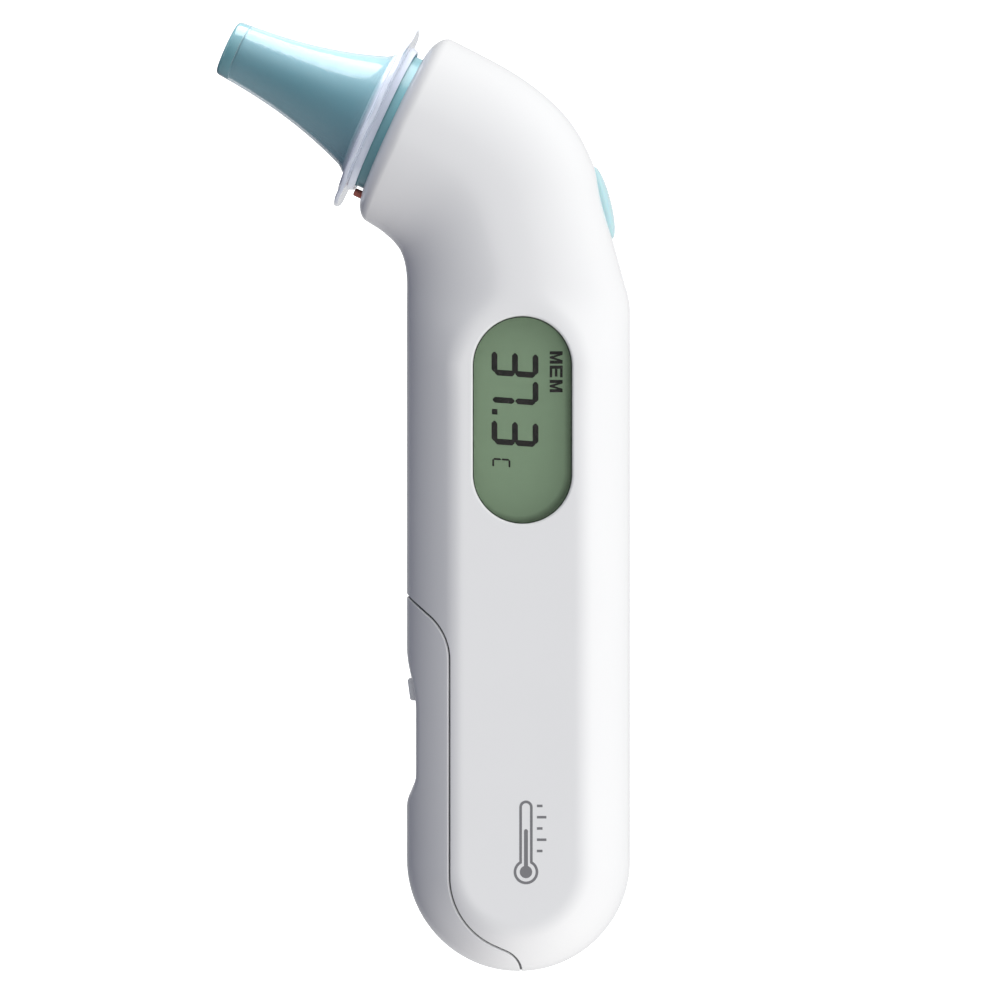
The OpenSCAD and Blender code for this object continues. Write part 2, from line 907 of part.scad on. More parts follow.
display_side_housing();
back_side_housing();
battery_door();
display_window();
window_gasket();
lcd_panel();
lcd_frame();
lcd_contact_strip();
main_circuit_board();
microcontroller();
memory_chip();
quartz_crystal();
board_components();
buzzer_disc();
buzzer_springs();
memory_switch();
memory_button();
start_switch();
start_switch_board();
start_switch_flex();
start_button();
probe_cone();
probe_window();
waveguide();
thermopile_sensor();
sensor_block();
sensor_sleeve();
sensor_board();
sensor_flex();
sensor_connector();
detector_switch();
detector_spring();
detector_pin();
ejector_ring();
lens_filter();
filter_film();
battery_holder();
front_battery_contact();
rear_battery_contact();
coin_cells();
housing_screws();
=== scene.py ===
import json
import math

import bmesh
import bpy
import numpy as np
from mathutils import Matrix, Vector
from mathutils.geometry import delaunay_2d_cdt


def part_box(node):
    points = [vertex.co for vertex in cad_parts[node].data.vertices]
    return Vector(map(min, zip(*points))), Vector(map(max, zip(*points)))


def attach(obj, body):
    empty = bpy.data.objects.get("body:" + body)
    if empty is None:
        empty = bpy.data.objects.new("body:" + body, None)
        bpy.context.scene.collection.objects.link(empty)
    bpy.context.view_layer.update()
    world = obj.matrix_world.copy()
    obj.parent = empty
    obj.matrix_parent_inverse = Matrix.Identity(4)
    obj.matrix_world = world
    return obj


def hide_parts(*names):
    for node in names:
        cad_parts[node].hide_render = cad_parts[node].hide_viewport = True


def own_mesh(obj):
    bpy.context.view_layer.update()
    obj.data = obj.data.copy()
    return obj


# A digital ear thermometer: shells, display, buttons, probe and clear lens filter round the fixed frame
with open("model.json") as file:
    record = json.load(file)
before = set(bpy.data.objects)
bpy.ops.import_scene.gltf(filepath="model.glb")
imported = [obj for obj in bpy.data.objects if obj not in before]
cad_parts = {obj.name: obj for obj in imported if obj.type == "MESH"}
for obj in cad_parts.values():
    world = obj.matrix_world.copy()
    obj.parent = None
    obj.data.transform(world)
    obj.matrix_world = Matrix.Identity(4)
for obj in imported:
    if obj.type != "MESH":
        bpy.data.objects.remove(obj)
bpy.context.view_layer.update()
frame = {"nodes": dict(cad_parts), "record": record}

# ---------- sizes in millimetres, measured from the handle's centre line ----------
MM = 0.001
HALF_W, HALF_T, HALF_FLAT, WALL = 16.2, 14.5, 9.3, 1.8
AXIS_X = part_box("back_side_housing")[1].x / MM - HALF_W
# The handle's round sides: radius, and how far their centre lies beyond the centre line
SIDE_C = (HALF_T ** 2 + HALF_FLAT ** 2 - HALF_W ** 2) / (2 * (HALF_W - HALF_FLAT))
SIDE_R = HALF_W + SIDE_C
# Width over which the round sides turn into the flat faces, on the handle and on the head
CREASE, HEAD_CREASE = 1.05, 0.4
# Where, and over what length, the handle's section and its crease turn into the head's
BLEND_Z, BLEND_LEN, CREASE_Z, CREASE_LEN = 81, 10, 91, 7
# Finger dish in the door: depth, lower end and its length, upper end and its length
DISH, DISH_LOW, DISH_RISE, DISH_HIGH, DISH_FALL = 1.4, 24, 4.6, 38, 9
FOOT_Z, HEAD_Z = 16.2, 87.3
NOSE_X, NOSE_Z, NOSE_TILT, NOSE_R = -18.0, 122.6, math.radians(65), 14.5
NOSE_FACE_R, NOSE_ROUND, NOSE_SHIFT = 10.9, 2.3, 0.15
RING_R, FLANGE_R, FILTER_LEN = 10.25, 14.35, 26.7
PIN_OFF, PIN_R, PIN_TRAVEL = 11.2, 0.58, 1.0
START_X, START_Z, START_TILT = 12.25, 111.3, math.radians(75.7)
START_LEN, START_W = 10.8, 8.0
WINDOW_X, WINDOW_Z, WINDOW_W, WINDOW_H = 0.5, 79.6, 14.1, 29.5
MEMORY_Z, MEMORY_W, MEMORY_H = 40.8, 6.8, 3.1
MEMORY_AT, MEMORY_HOLE = (0, MEMORY_Z + 0.1), (MEMORY_W + 0.6, MEMORY_H + 0.8)
SCREWS = [(4.5, 12.0, 13.6), (6.0, 52.0, 13.6), (-4.2, 113.0, 12.4)]
SEAM_GAP = 0.3

# Head stations: inner edge x, z, outer edge x, z, half thickness, squareness of the outer half
STATIONS = np.array([
    [-16.2, 87.3, 16.2, 87.3, 17.9, 2],
    [-16.2, 92, 16.2, 91.5, 16.6, 2],
    [-16.2, 96.5, 16.1, 96.6, 14.8, 2],
    [-16.2, 100.2, 15.1, 100.5, 14.4, 2.2],
    [-16.5, 102.6, 13.6, 106, 14.4, 2.3],
    [-17, 104.1, 12.3, 111.3, 14.4, 2.3],
    [-17.5, 104.95, 10.9, 116.6, 14.4, 2.3],
    [-18.2, 105.8, 8.2, 122, 14.4, 2.2],
    [-19, 106.55, 4.4, 126.3, 14.4, 2.1],
    [-20.2, 107.5, -1.2, 130.4, 14.45, 2],
])


def heading(angle):
    """The unit vector at an angle in radians."""
    return np.array([math.cos(angle), math.sin(angle)])


def unit(vectors):
    return vectors / np.maximum(np.linalg.norm(vectors, axis=1), 1e-9)[:, None]


NOSE_ACROSS = heading(NOSE_TILT)
NOSE_AXIS = np.array([-NOSE_ACROSS[1], NOSE_ACROSS[0]])


def nose_row(behind, r, shift):
    """A round station behind the nose face, as a row of STATIONS."""
    behind, r, shift = (np.asarray(v, float) for v in (behind, r, shift))
    mid = np.array([NOSE_X, NOSE_Z]) - behind[..., None] * NOSE_AXIS
    low = mid + (shift - r)[..., None] * NOSE_ACROSS
    high = mid + (shift + r)[..., None] * NOSE_ACROSS
    return np.concatenate([low, high, np.stack([r, np.full_like(r, 2.0)], -1)], -1)


STATIONS = np.vstack([STATIONS, nose_row(NOSE_ROUND, NOSE_R, NOSE_SHIFT)])
LAST = len(STATIONS) - 1
RING_HOLE = RING_R + 0.06


def smooth(t):
    """Runs from 0 to 1 as t does, level at both ends."""
    t = np.clip(t, 0, 1)
    return t * t * (3 - 2 * t)


def row_at(s):
    """Head rows at station number s: a Catmull-Rom loft, then the nose rounding, then the flat nose face."""
    s = np.clip(s, 0, LAST + 2)
    i = np.minimum(np.floor(s).astype(int), LAST - 1)
    t = np.clip(s - i, 0, 1)[:, None]
    a, b, c, d = (STATIONS[np.clip(i + k, 0, LAST)] for k in (-1, 0, 1, 2))
    square, cube = 2 * a - 5 * b + 4 * c - d, 3 * b - a - 3 * c + d
    loft = 0.5 * (2 * b + (c - a) * t + square * t * t + cube * t ** 3)
    # The rounding is a cubic curve with control points at these distances behind the face and radii
    q = np.clip(s - LAST, 0, 1)
    p = 1 - q
    behind = NOSE_ROUND * p ** 3 + 3 * 1.0 * p * p * q
    r = NOSE_R * p ** 3 + 3 * 14.45 * p * p * q + 3 * 12.5 * p * q * q + NOSE_FACE_R * q ** 3
    r = r - (NOSE_FACE_R - RING_HOLE) * np.clip(s - LAST - 1, 0, 1)
    nose = nose_row(behind, r, NOSE_SHIFT * p)
    return np.where((s >= LAST)[:, None], nose, loft)


# The surface is laid out flat: X runs round the body at K mm per radian, Z runs along it
K = 17.0
EDGE = K * math.pi / 2
rows = np.vstack([STATIONS, nose_row(0.0, NOSE_FACE_R, 0.0), nose_row(0.0, RING_HOLE, 0.0)])
moves = np.diff(rows[:, :4], axis=0)
row_steps = (np.hypot(moves[:, 0], moves[:, 1]) + np.hypot(moves[:, 2], moves[:, 3])) / 2
ROW_Z = HEAD_Z + np.concatenate([[0], np.cumsum(row_steps)])
TOP_Z = float(ROW_Z[-1])


def under_flat(f, crease=CREASE):
    """Height f cut by the flat face, rounded where they cross."""
    h = np.maximum(crease - np.abs(f - HALF_T), 0) / crease
    return np.minimum(f, HALF_T) - h * h * crease / 4


def side_arc(c):
    """Half thickness of the handle's round sides at share c of its half width."""
    return np.sqrt(np.maximum(SIDE_R ** 2 - (HALF_W * np.abs(c) + SIDE_C) ** 2, 0))


def round_distance(X, Z):
    """Distance in the layout from the middle line, or on the foot from its centre."""
    return np.where(Z < FOOT_Z, np.hypot(X, FOOT_Z - Z), np.abs(X))


def dish_depth(z):
    """Depth of the finger dish at height z."""
    return DISH * smooth((z - DISH_LOW) / DISH_RISE) * (1 - smooth((z - DISH_HIGH) / DISH_FALL))


def surface(q, side, dish):
    """Points of the outer surface for layout points q. Side is -1 for the display half and 1 for the back."""
    X, Z = q[:, 0], q[:, 1]
    phi = np.arctan2(X, FOOT_Z - Z)
    turn = round_distance(X, Z) / K
    c = np.sin(turn)
    flip = np.where(np.cos(turn) < 0, -1.0, 1.0)
    foot_z = FOOT_Z - HALF_W * c * np.cos(phi)
    foot = np.stack([HALF_W * c * np.sin(phi), flip * under_flat(side_arc(c)), foot_z], 1)
    row = row_at(np.interp(Z, ROW_Z, np.arange(len(ROW_Z), dtype=float)))
    row[:, [1, 3]] = np.where((Z < HEAD_Z)[:, None], Z[:, None], row[:, [1, 3]])
    mid, span = (row[:, :2] + row[:, 2:4]) / 2, row[:, 2:4] - row[:, :2]
    along = mid + np.sin(X / K)[:, None] * span / 2
    n = np.where(X > 0, row[:, 5], 2.0)
    round_y = row[:, 4] * np.maximum(1 - np.abs(c) ** n, 0) ** (1 / n)
    w = smooth((Z - BLEND_Z) / BLEND_LEN)
    crease = CREASE - (CREASE - HEAD_CREASE) * smooth((Z - CREASE_Z) / CREASE_LEN)
    y = under_flat((1 - w) * side_arc(c) + w * round_y, crease)
    body = np.stack([along[:, 0], flip * y, along[:, 1]], 1)
    P = np.where((Z < FOOT_Z)[:, None], foot, body)
    P[:, 1] *= side
    if dish:
        depth = dish_depth(P[:, 2])
        level, k = depth - HALF_W, np.minimum(0.7, depth) + 1e-6
        h = np.maximum(k - np.abs(P[:, 0] - level), 0) / k
        P[:, 0] = np.maximum(P[:, 0], level) + h * h * k / 4
    return P


def tangents(q, side, dish=False, e=0.004):
    """Surface points, both layout tangents and the outward normals."""
    dx, dz = np.array([e, 0]), np.array([0, e])
    P = surface(q, side, dish)
    SX = (surface(q + dx, side, dish) - surface(q - dx, side, dish)) / (2 * e)
    SZ = (surface(q + dz, side, dish) - surface(q - dz, side, dish)) / (2 * e)
    N = -side * np.cross(SX, SZ)
    return P, SX, SZ, unit(N)


# ---------- openings in the shells ----------
def frame_of(x, z, tilt):
    """Origin and axes of a tilted frame: its own Z leaves the body, tilt is the turn about Y."""
    c, s = math.cos(tilt), math.sin(tilt)
    return np.array([x, 0, z]), np.array([c, 0, -s]), np.array([s, 0, c])


NOSE_FRAME = frame_of(NOSE_X, NOSE_Z, -NOSE_TILT)
START_FRAME = frame_of(START_X, START_Z, START_TILT)


def flat_xz(P):
    return P[:, [0, 2]]


def flat_yz(P):
    return P[:, [1, 2]]


def flat_in(base):
    o, ax, az = base
    return lambda P: np.stack([(P - o) @ ax, P[:, 1]], 1)


def loop_points(points, step, closed):
    """The polyline resampled evenly."""
    p = np.asarray(points, float)
    if closed:
        p = np.vstack([p, p[:1]])
    length = np.concatenate([[0], np.cumsum(np.linalg.norm(np.diff(p, axis=0), axis=1))])
    n = max(8, int(round(length[-1] / step)))
    t = np.linspace(0, length[-1], n + 1)
    out = np.stack([np.interp(t, length, p[:, k]) for k in range(2)], 1)
    return out[:-1] if closed else out


def arc(c, r, a0, a1, n):
    """Points on a circle of radius r about c, from angle a0 to a1 in degrees."""
    a = np.radians(np.linspace(a0, a1, n + 1))
    return np.array(c) + r * np.stack([np.cos(a), np.sin(a)], 1)


def circle(c, r):
    return arc(c, r, 0, 360, 96)[:-1]


def rounded_box(c, w, h, r):
    x, y = w / 2 - r, h / 2 - r
    corners = enumerate(((x, y), (-x, y), (-x, -y), (x, -y)))
    return np.array(c) + np.vstack([arc(p, r, 90 * k, 90 * k + 90, 8) for k, p in corners])


def stadium(c, w, h):
    """An upright slot with round ends."""
    s = (h - w) / 2
    return np.array(c) + np.vstack([arc((0, s), w / 2, 0, 180, 40), arc((0, -s), w / 2, 180, 360, 40)])


def oval(a, b, n=120):
    t = np.linspace(0, 2 * math.pi, n, endpoint=False)
    return np.stack([a * np.cos(t), b * np.sin(t)], 1)


# The door's seam: an arc from the left edge, a straight run down, two more arcs and the foot's middle
SLOPE = math.radians(50.5)
OUT = heading(SLOPE)
SEAM_TOP = np.array([-12.9, 51.7])
SEAM_X, SEAM_R2, SEAM_R3 = 9.95, 11.08, 3.9
SEAM_R1 = (-SEAM_TOP[0] - SEAM_X) / (1 - math.cos(SLOPE))
TURN = math.radians(65)
C1 = SEAM_TOP - SEAM_R1 * OUT
C2 = np.array([SEAM_R2 - SEAM_X, 14.6])
LOW = C2 + SEAM_R2 * heading(math.pi + TURN)
REACH = (0.35 - SEAM_R3 * (1 - math.cos(TURN)) - LOW[0]) / math.sin(TURN)
C3 = LOW + REACH * np.array([math.sin(TURN), -math.cos(TURN)]) - SEAM_R3 * heading(TURN)


def seam_curve(g):
    """Door seam in x and z, moved by g towards the housing."""
    start = C1 + (SEAM_R1 + g) * OUT + 8 * np.array([-OUT[1], OUT[0]])
    return np.vstack([
        [start], arc(C1, SEAM_R1 + g, 50.5, 0, 30), arc(C2, SEAM_R2 - g, 180, 245, 40),
        arc(C3, SEAM_R3 + g, 65, 0, 20), [[0.35 + g, -5]]])


SEAM_LINE = loop_points(seam_curve(0), 0.25, closed=False)


def seam_side(p):
    """Signed distance from the seam: above 0 on the housing's side."""
    a, b = SEAM_LINE[:-1], SEAM_LINE[1:]
    d = b - a
    best, sign = np.full(len(p), 1e9), np.ones(len(p))
    for k in range(0, len(p), 4000):
        r = p[k:k + 4000, None, :] - a[None]
        t = np.clip((r * d).sum(-1) / (d * d).sum(-1), 0, 1)
        e = r - t[..., None] * d
        dist = np.hypot(e[..., 0], e[..., 1])
        j = dist.argmin(1)
        n = np.arange(len(j))
        best[k:k + 4000] = dist[n, j]
        sign[k:k + 4000] = np.sign(r[n, j, 1] * d[j, 0] - r[n, j, 0] * d[j, 1])
    return best * sign


class Opening:
    """A hole or border in a shell.

    flat maps points to the opening's own plane, where outline(g) is its outline moved g into the material
    and gap gives a point's distance from it. The rim is rounded over rho, and its wall runs along way.
    near keeps out points that lie in front of the same plane elsewhere on the shell.
    """

    def __init__(self, flat, gap, outline, rho, way=None, closed=True, near=None):
        self.flat, self.outline, self.rho, self.way, self.closed = flat, outline, rho, way, closed
        self.near = near or (lambda P: np.ones(len(P), bool))
        self.gap = lambda P: np.where(self.near(P), gap(flat(P)), 1e3)


def above(base, h):
    """True for points higher than h in a tilted frame."""
    return lambda P: (P - base[0]) @ base[2] > h


def box_gap(c, w, h, r):
    """Distance from a box with rounded corners, which is a slot or a circle where r is half its width."""
    def gap(p):
        q = np.abs(p - np.array(c)) - np.array([w / 2 - r, h / 2 - r])
        return np.hypot(*np.maximum(q, 0).T) + np.minimum(q.max(1), 0) - r
    return gap


def oval_gap(a, b):
    def gap(p):
        f = np.hypot(p[:, 0] / a, p[:, 1] / b)
        return (f - 1) * np.hypot(p[:, 0], p[:, 1]) / np.maximum(f, 1e-6)
    return gap


def seam_opening(way):
    """One side of the door's seam: way is 1 for the housing and -1 for the door."""
    gap = lambda p: way * seam_side(p) - SEAM_GAP / 2
    return Opening(flat_xz, gap, lambda g: seam_curve(way * (SEAM_GAP / 2 + g)), 0.12, closed=False)


def window_outline(grow):
    return stadium((WINDOW_X, WINDOW_Z), WINDOW_W + 2 * grow, WINDOW_H + 2 * grow)


def start_outline(grow):
    return oval(START_LEN / 2 + 0.15 + grow, START_W / 2 + 0.15 + grow)


def memory_outline(grow):
    return rounded_box(MEMORY_AT, MEMORY_HOLE[0] + 2 * grow, MEMORY_HOLE[1] + 2 * grow, 0.5 + grow)


def round_hole(flat, c, r, rho, way, near=None):
    return Opening(flat, box_gap(c, 2 * r, 2 * r, r), lambda g: circle(c, r + g), rho, way, near=near)


HOUSING_SEAM, DOOR_SEAM = seam_opening(1), seam_opening(-1)
WINDOW = Opening(flat_xz, box_gap((WINDOW_X, WINDOW_Z), WINDOW_W, WINDOW_H, WINDOW_W / 2), window_outline,
                 0.34, np.array([0, 1.0, 0]))
START = Opening(flat_in(START_FRAME), oval_gap(START_LEN / 2 + 0.15, START_W / 2 + 0.15), start_outline, 0.22,
                -START_FRAME[2], near=above(START_FRAME, -8))
PIN = round_hole(flat_in(NOSE_FRAME), (-PIN_OFF, 0), PIN_R + 0.06, 0.08, -NOSE_FRAME[2],
                 above(NOSE_FRAME, -4))
MEMORY = Opening(flat_yz, box_gap(MEMORY_AT, *MEMORY_HOLE, 0.5), memory_outline, 0.18,
                 np.array([1.0, 0, 0]), near=lambda P: P[:, 0] < -8)
SCREW_HOLES = [round_hole(flat_xz, (x, z), 2.2, 0.25, np.array([0, -1.0, 0])) for x, z, _ in SCREWS]


def layout_guess(side, dish):
    """A coarse grid over the layout and its surface points, to start searches from."""
    X, Z = np.meshgrid(np.linspace(-EDGE - 3, EDGE + 3, 140), np.linspace(FOOT_Z - EDGE - 2, TOP_Z, 420))
    q = np.stack([X.ravel(), Z.ravel()], 1)
    return q, surface(q, side, dish)


def to_layout(points, flat, side, dish, guess, near):
    """Layout points that project to the given plane points, by Newton steps from the nearest guess."""
    q0, P0 = guess
    f0 = flat(P0)
    ok = near(P0)
    f0, q0 = f0[ok], q0[ok]
    q = np.array([q0[((f0 - p) ** 2).sum(1).argmin()] for p in points])
    e = 1e-3
    for _ in range(12):
        f = flat(surface(q, side, dish))
        jx = (flat(surface(q + [e, 0], side, dish)) - f) / e
        jz = (flat(surface(q + [0, e], side, dish)) - f) / e
        det = jx[:, 0] * jz[:, 1] - jx[:, 1] * jz[:, 0]
        det = np.where(np.abs(det) < 1e-4, 1e-4, det)
        r = points - f
        step_x = (r[:, 0] * jz[:, 1] - r[:, 1] * jz[:, 0]) / det
        step_z = (r[:, 1] * jx[:, 0] - r[:, 0] * jx[:, 1]) / det
        step = np.stack([step_x, step_z], 1)
        size = np.linalg.norm(step, axis=1)
        q = q + step * np.minimum(1, 0.8 / np.maximum(size, 1e-9))[:, None]
    return q


def seam_to_layout(p):
    """Exact layout of points on the straight handle and foot, run on past the silhouette."""
    x, z = p[:, 0], p[:, 1]
    down = np.where(z < FOOT_Z, FOOT_Z - z, 0.0)
    r = np.hypot(x, down)
    rho = K * np.arcsin(np.clip(r / HALF_W, 0, 1)) + np.maximum(r - HALF_W, 0)
    r = np.maximum(r, 1e-9)
    return np.stack([rho * x / r, np.where(z < FOOT_Z, FOOT_Z - rho * down / r, z)], 1)


def in_layout(q, margin=0.0):
    """True for layout points that lie on the shell's half."""
    return (round_distance(*q.T) <= EDGE + margin) & (q[:, 1] <= TOP_Z + margin)


def grid_points():
    """Layout points: straight rows on the handle and head, rings round the foot."""
    xs = np.linspace(-EDGE, EDGE, 109)
    zs = np.concatenate([np.arange(FOOT_Z, HEAD_Z - 7, 1.1), np.arange(HEAD_Z - 7, TOP_Z - 8, 0.75),
                         np.arange(TOP_Z - 8, TOP_Z - 0.2, 0.4)])
    X, Z = np.meshgrid(xs, zs)
    out = [np.stack([X.ravel(), Z.ravel()], 1)]
    for rho in np.linspace(0, EDGE, 55)[1:]:
        a = np.linspace(-math.pi / 2, math.pi / 2, max(6, int(math.pi * rho / 0.8)))[1:-1]
        out.append(np.stack([rho * np.sin(a), FOOT_Z - rho * np.cos(a)], 1))
    return np.vstack(out)


FOOT_TURN = np.linspace(0, math.pi, 90)[1:-1]
BORDER = np.vstack([
    np.stack([np.full(150, -EDGE), np.linspace(TOP_Z, FOOT_Z, 150)], 1),
    np.stack([-EDGE * np.cos(FOOT_TURN), FOOT_Z - EDGE * np.sin(FOOT_TURN)], 1),
    np.stack([np.full(150, EDGE), np.linspace(FOOT_Z, TOP_Z, 150)], 1),
    np.stack([np.linspace(EDGE, -EDGE, 110), np.full(110, TOP_Z)], 1)[1:-1],
])


def lay_out(side, openings, dish):
    """Triangulates the layout with every opening's outline and rounding rings in it."""
    guess = layout_guess(side, dish)
    points, edges = [], []

    def add(line, closed):
        n0 = len(points)
        points.extend(map(tuple, line))
        n = len(line)
        edges.extend((n0 + k, n0 + k + 1) for k in range(n - 1))
        if closed:
            edges.append((n0 + n - 1, n0))

    add(BORDER, True)
    for inset in (0.05, 0.14, 0.3):
        for s in (-1, 1):
            add(np.stack([np.full(190, s * (EDGE - inset)), np.linspace(FOOT_Z, TOP_Z - 0.5, 190)], 1), False)
    for o in openings:
        for share in (0, 0.06, 0.2, 0.42, 0.7, 1.0):
            line = loop_points(o.outline(o.rho * share), 0.16 if o.rho < 0.1 else 0.3, o.closed)
            if o.closed:
                line = to_layout(line, o.flat, side, dish, guess, o.near)
            else:
                line = seam_to_layout(line)
            add(line, o.closed)
    grid = grid_points()
    P = surface(grid, side, dish)
    keep = np.all([o.gap(P) > o.rho + 0.12 for o in openings], 0)
    keep &= round_distance(*grid.T) < EDGE - 0.45
    n0 = len(points)
    points.extend(map(tuple, grid[keep]))
    made = delaunay_2d_cdt([Vector(p) for p in points], edges, [], 0, 1e-5)
    V = np.array([tuple(v) for v in made[0]])
    T = np.array([f for f in made[2] if len(f) == 3])
    return V, T


def edge_loops(T):
    """Directed edges that only one triangle uses."""
    e = np.vstack([T[:, [0, 1]], T[:, [1, 2]], T[:, [2, 0]]])
    key = np.sort(e, 1)
    _, inverse, count = np.unique(key, axis=0, return_inverse=True, return_counts=True)
    return e[count[inverse.ravel()] == 1]


def shell(name, side, openings, dish=False, mirror=False, parted=True):
    """A moulded shell: rounded outer skin, inner skin one wall behind it, and walls round every opening."""
    V, T = lay_out(side, openings, dish)
    C = V[T].mean(1)
    P = surface(C, side, dish)
    ok = in_layout(C)
    for o in openings:
        ok &= o.gap(P) > 0
    a = V[T]
    area = np.abs(np.cross(a[:, 1] - a[:, 0], a[:, 2] - a[:, 0]))
    T = T[ok & (area > 1e-9)]
    used, T = np.unique(T, return_inverse=True)
    T = T.reshape(-1, 3)
    V = V[used]
    P, SX, SZ, N = tangents(V, side, dish)
    # Rounding towards the nearest border
    depth, lean, way = np.zeros(len(V)), np.zeros(len(V)), np.zeros((len(V), 3))
    wall_way = -N.copy()
    e = 0.004
    borders = list(openings)
    if parted:
        borders.append(Opening(flat_yz, lambda p: np.abs(p[:, 0]), None, 0.11))
    for o in borders:
        gap = lambda q: o.gap(surface(q, side, dish))
        g = np.maximum(gap(V), 0)
        if o.way is not None:
            wall_way[g < 0.004] = o.way
        near = g < o.rho
        if not near.any():
            continue
        q = V[near]
        gx = (gap(q + [e, 0]) - gap(q - [e, 0])) / (2 * e)
        gz = (gap(q + [0, e]) - gap(q - [0, e])) / (2 * e)
        if o.outline is None:
            gx, gz = -np.sign(q[:, 0]), np.zeros(len(q))
        A, B, Cc = (SX[near] ** 2).sum(1), (SX[near] * SZ[near]).sum(1), (SZ[near] ** 2).sum(1)
        det = np.maximum(A * Cc - B * B, 1e-9)
        u, v = (gx * Cc - gz * B) / det, (gz * A - gx * B) / det
        t = unit(-(u[:, None] * SX[near] + v[:, None] * SZ[near]))
        s = (o.rho - g[near]) / o.rho
        d = o.rho - o.rho * np.sqrt(np.maximum(1 - s * s, 0))
        idx = np.flatnonzero(near)
        better = d > depth[idx]
        depth[idx[better]], lean[idx[better]], way[idx[better]] = d[better], s[better], t[better]
    outer = P - N * depth[:, None]
    normal = N * np.sqrt(1 - lean ** 2)[:, None] + way * lean[:, None]
    inner = P + wall_way * WALL
    if parted:
        inner[:, 1] = np.where(np.abs(P[:, 1]) < 1e-4, 0, inner[:, 1])
        outer[:, 1] = np.where(np.abs(P[:, 1]) < 1e-4, 0.012 * side, outer[:, 1])
    if mirror:
        outer, inner, normal, N, T = mirrored(outer, inner, normal, N, T)
    return shell_object(name, outer, inner, normal, N, T)


def mirrored(outer, inner, normal, N, T):
    """Adds the same skin on the other side of the middle plane, sharing the points on it."""
    on = np.abs(outer[:, 1]) < 1e-4
    n = len(outer)
    other = np.where(on, np.arange(n), n + np.cumsum(~on) - 1)
    flip = np.array([1.0, -1.0, 1.0])
    outer[on, 1] = inner[on, 1] = normal[on, 1] = N[on, 1] = 0
    merge = lambda a: np.vstack([a, (a * flip)[~on]])
    return merge(outer), merge(inner), merge(normal), merge(N), np.vstack([T, other[T][:, ::-1]])


def shell_object(name, outer, inner, normal, N, T):
    """The mesh of a shell from its outer and inner points, with walls between them along every free edge."""
    n = len(outer)
    a, b, c = (outer[T[:, k]] for k in range(3))
    facing = (np.cross(b - a, c - a) * (normal[T].sum(1))).sum(1)
    T = np.where((facing < 0)[:, None], T[:, ::-1], T)
    rim = edge_loops(T)
    rim_normal = np.zeros((2 * n, 3))
    d = outer[rim[:, 1]] - outer[rim[:, 0]]
    f = unit(np.cross((inner - outer)[rim].sum(1), d))
    for k in range(2):
        np.add.at(rim_normal, rim[:, k], f)
    rim_normal = unit(rim_normal)
    faces = [tuple(t) for t in T] + [tuple(n + t[::-1]) for t in T]
    faces += [(e[1], e[0], n + e[0], n + e[1]) for e in rim]
    wall_loops = np.stack([rim_normal[rim[:, k]] for k in (1, 0, 0, 1)], 1)
    loops = [normal[T].reshape(-1, 3), -N[T[:, ::-1]].reshape(-1, 3), wall_loops.reshape(-1, 3)]
    return mesh_object(name, np.vstack([outer, inner]), faces, np.vstack(loops))


def linked(name, data):
    """A new object in the scene."""
    o = bpy.data.objects.new(name, data)
    bpy.context.scene.collection.objects.link(o)
    return o


def mesh_object(name, points, faces, loop_normals=None, smooth_faces=True):
    """A mesh from points in mm from the handle's centre line."""
    mesh = bpy.data.meshes.new(name)
    v = (np.asarray(points, float) + [AXIS_X, 0, 0]) * MM
    mesh.from_pydata([tuple(p) for p in v], [], [tuple(int(i) for i in f) for f in faces])
    mesh.polygons.foreach_set("use_smooth", [smooth_faces] * len(mesh.polygons))
    if loop_normals is not None:
        mesh.normals_split_custom_set([tuple(x) for x in loop_normals])
    mesh.update()
    return linked(name, mesh)


# ---------- general mesh makers ----------
def soften(corners, n=6):
    """A closed 2D outline from corners (x, y, radius), each rounded by its radius."""
    out, m = [], len(corners)
    for i, (x, y, r) in enumerate(corners):
        p = np.array([x, y], float)
        if r <= 0:
            out.append(p)
            continue
        a, b = np.array(corners[i - 1][:2]) - p, np.array(corners[(i + 1) % m][:2]) - p
        la, lb = np.linalg.norm(a), np.linalg.norm(b)
        a, b = a / la, b / lb
        half = math.acos(max(-1, min(1, float(a @ b)))) / 2
        t = min(r / math.tan(half), 0.48 * la, 0.48 * lb)
        c = p + (a + b) / np.linalg.norm(a + b) * t / math.cos(half)
        s, e = p + a * t - c, p + b * t - c
        a0 = math.atan2(s[1], s[0])
        turn = (math.atan2(e[1], e[0]) - a0 + math.pi) % (2 * math.pi) - math.pi
        out += [c + np.linalg.norm(s) * heading(a0 + turn * k / n) for k in range(n + 1)]
    return np.array(out)


def place(base, p):
    """Points p of a tilted frame as points of the body."""
    o, ax, az = base
    p = np.asarray(p, float)
    return o + p[..., 0:1] * ax + p[..., 1:2] * np.cross(az, ax) + p[..., 2:3] * az


def sharpen(o, angle):
    """Smooth shading with flat faces kept flat."""
    for e in o.data.edges:
        e.use_edge_sharp = False
    m = o.modifiers.new("normals", "WEIGHTED_NORMAL")
    m.keep_sharp = True
    o.data.set_sharp_from_angle(angle=math.radians(angle))
    return o


def stack(name, rings, closed=False, angle=35):
    """A skin through equal rings of points. The last joins the first if closed, else both ends get caps."""
    m, n = len(rings), len(rings[0])
    faces = [(i * n + j, i * n + (j + 1) % n, ((i + 1) % m) * n + (j + 1) % n, ((i + 1) % m) * n + j)
             for i in range(m if closed else m - 1) for j in range(n)]
    if not closed:
        faces += [tuple(range(n))[::-1], tuple((m - 1) * n + j for j in range(n))]
    return sharpen(mesh_object(name, np.vstack(rings), faces), angle)


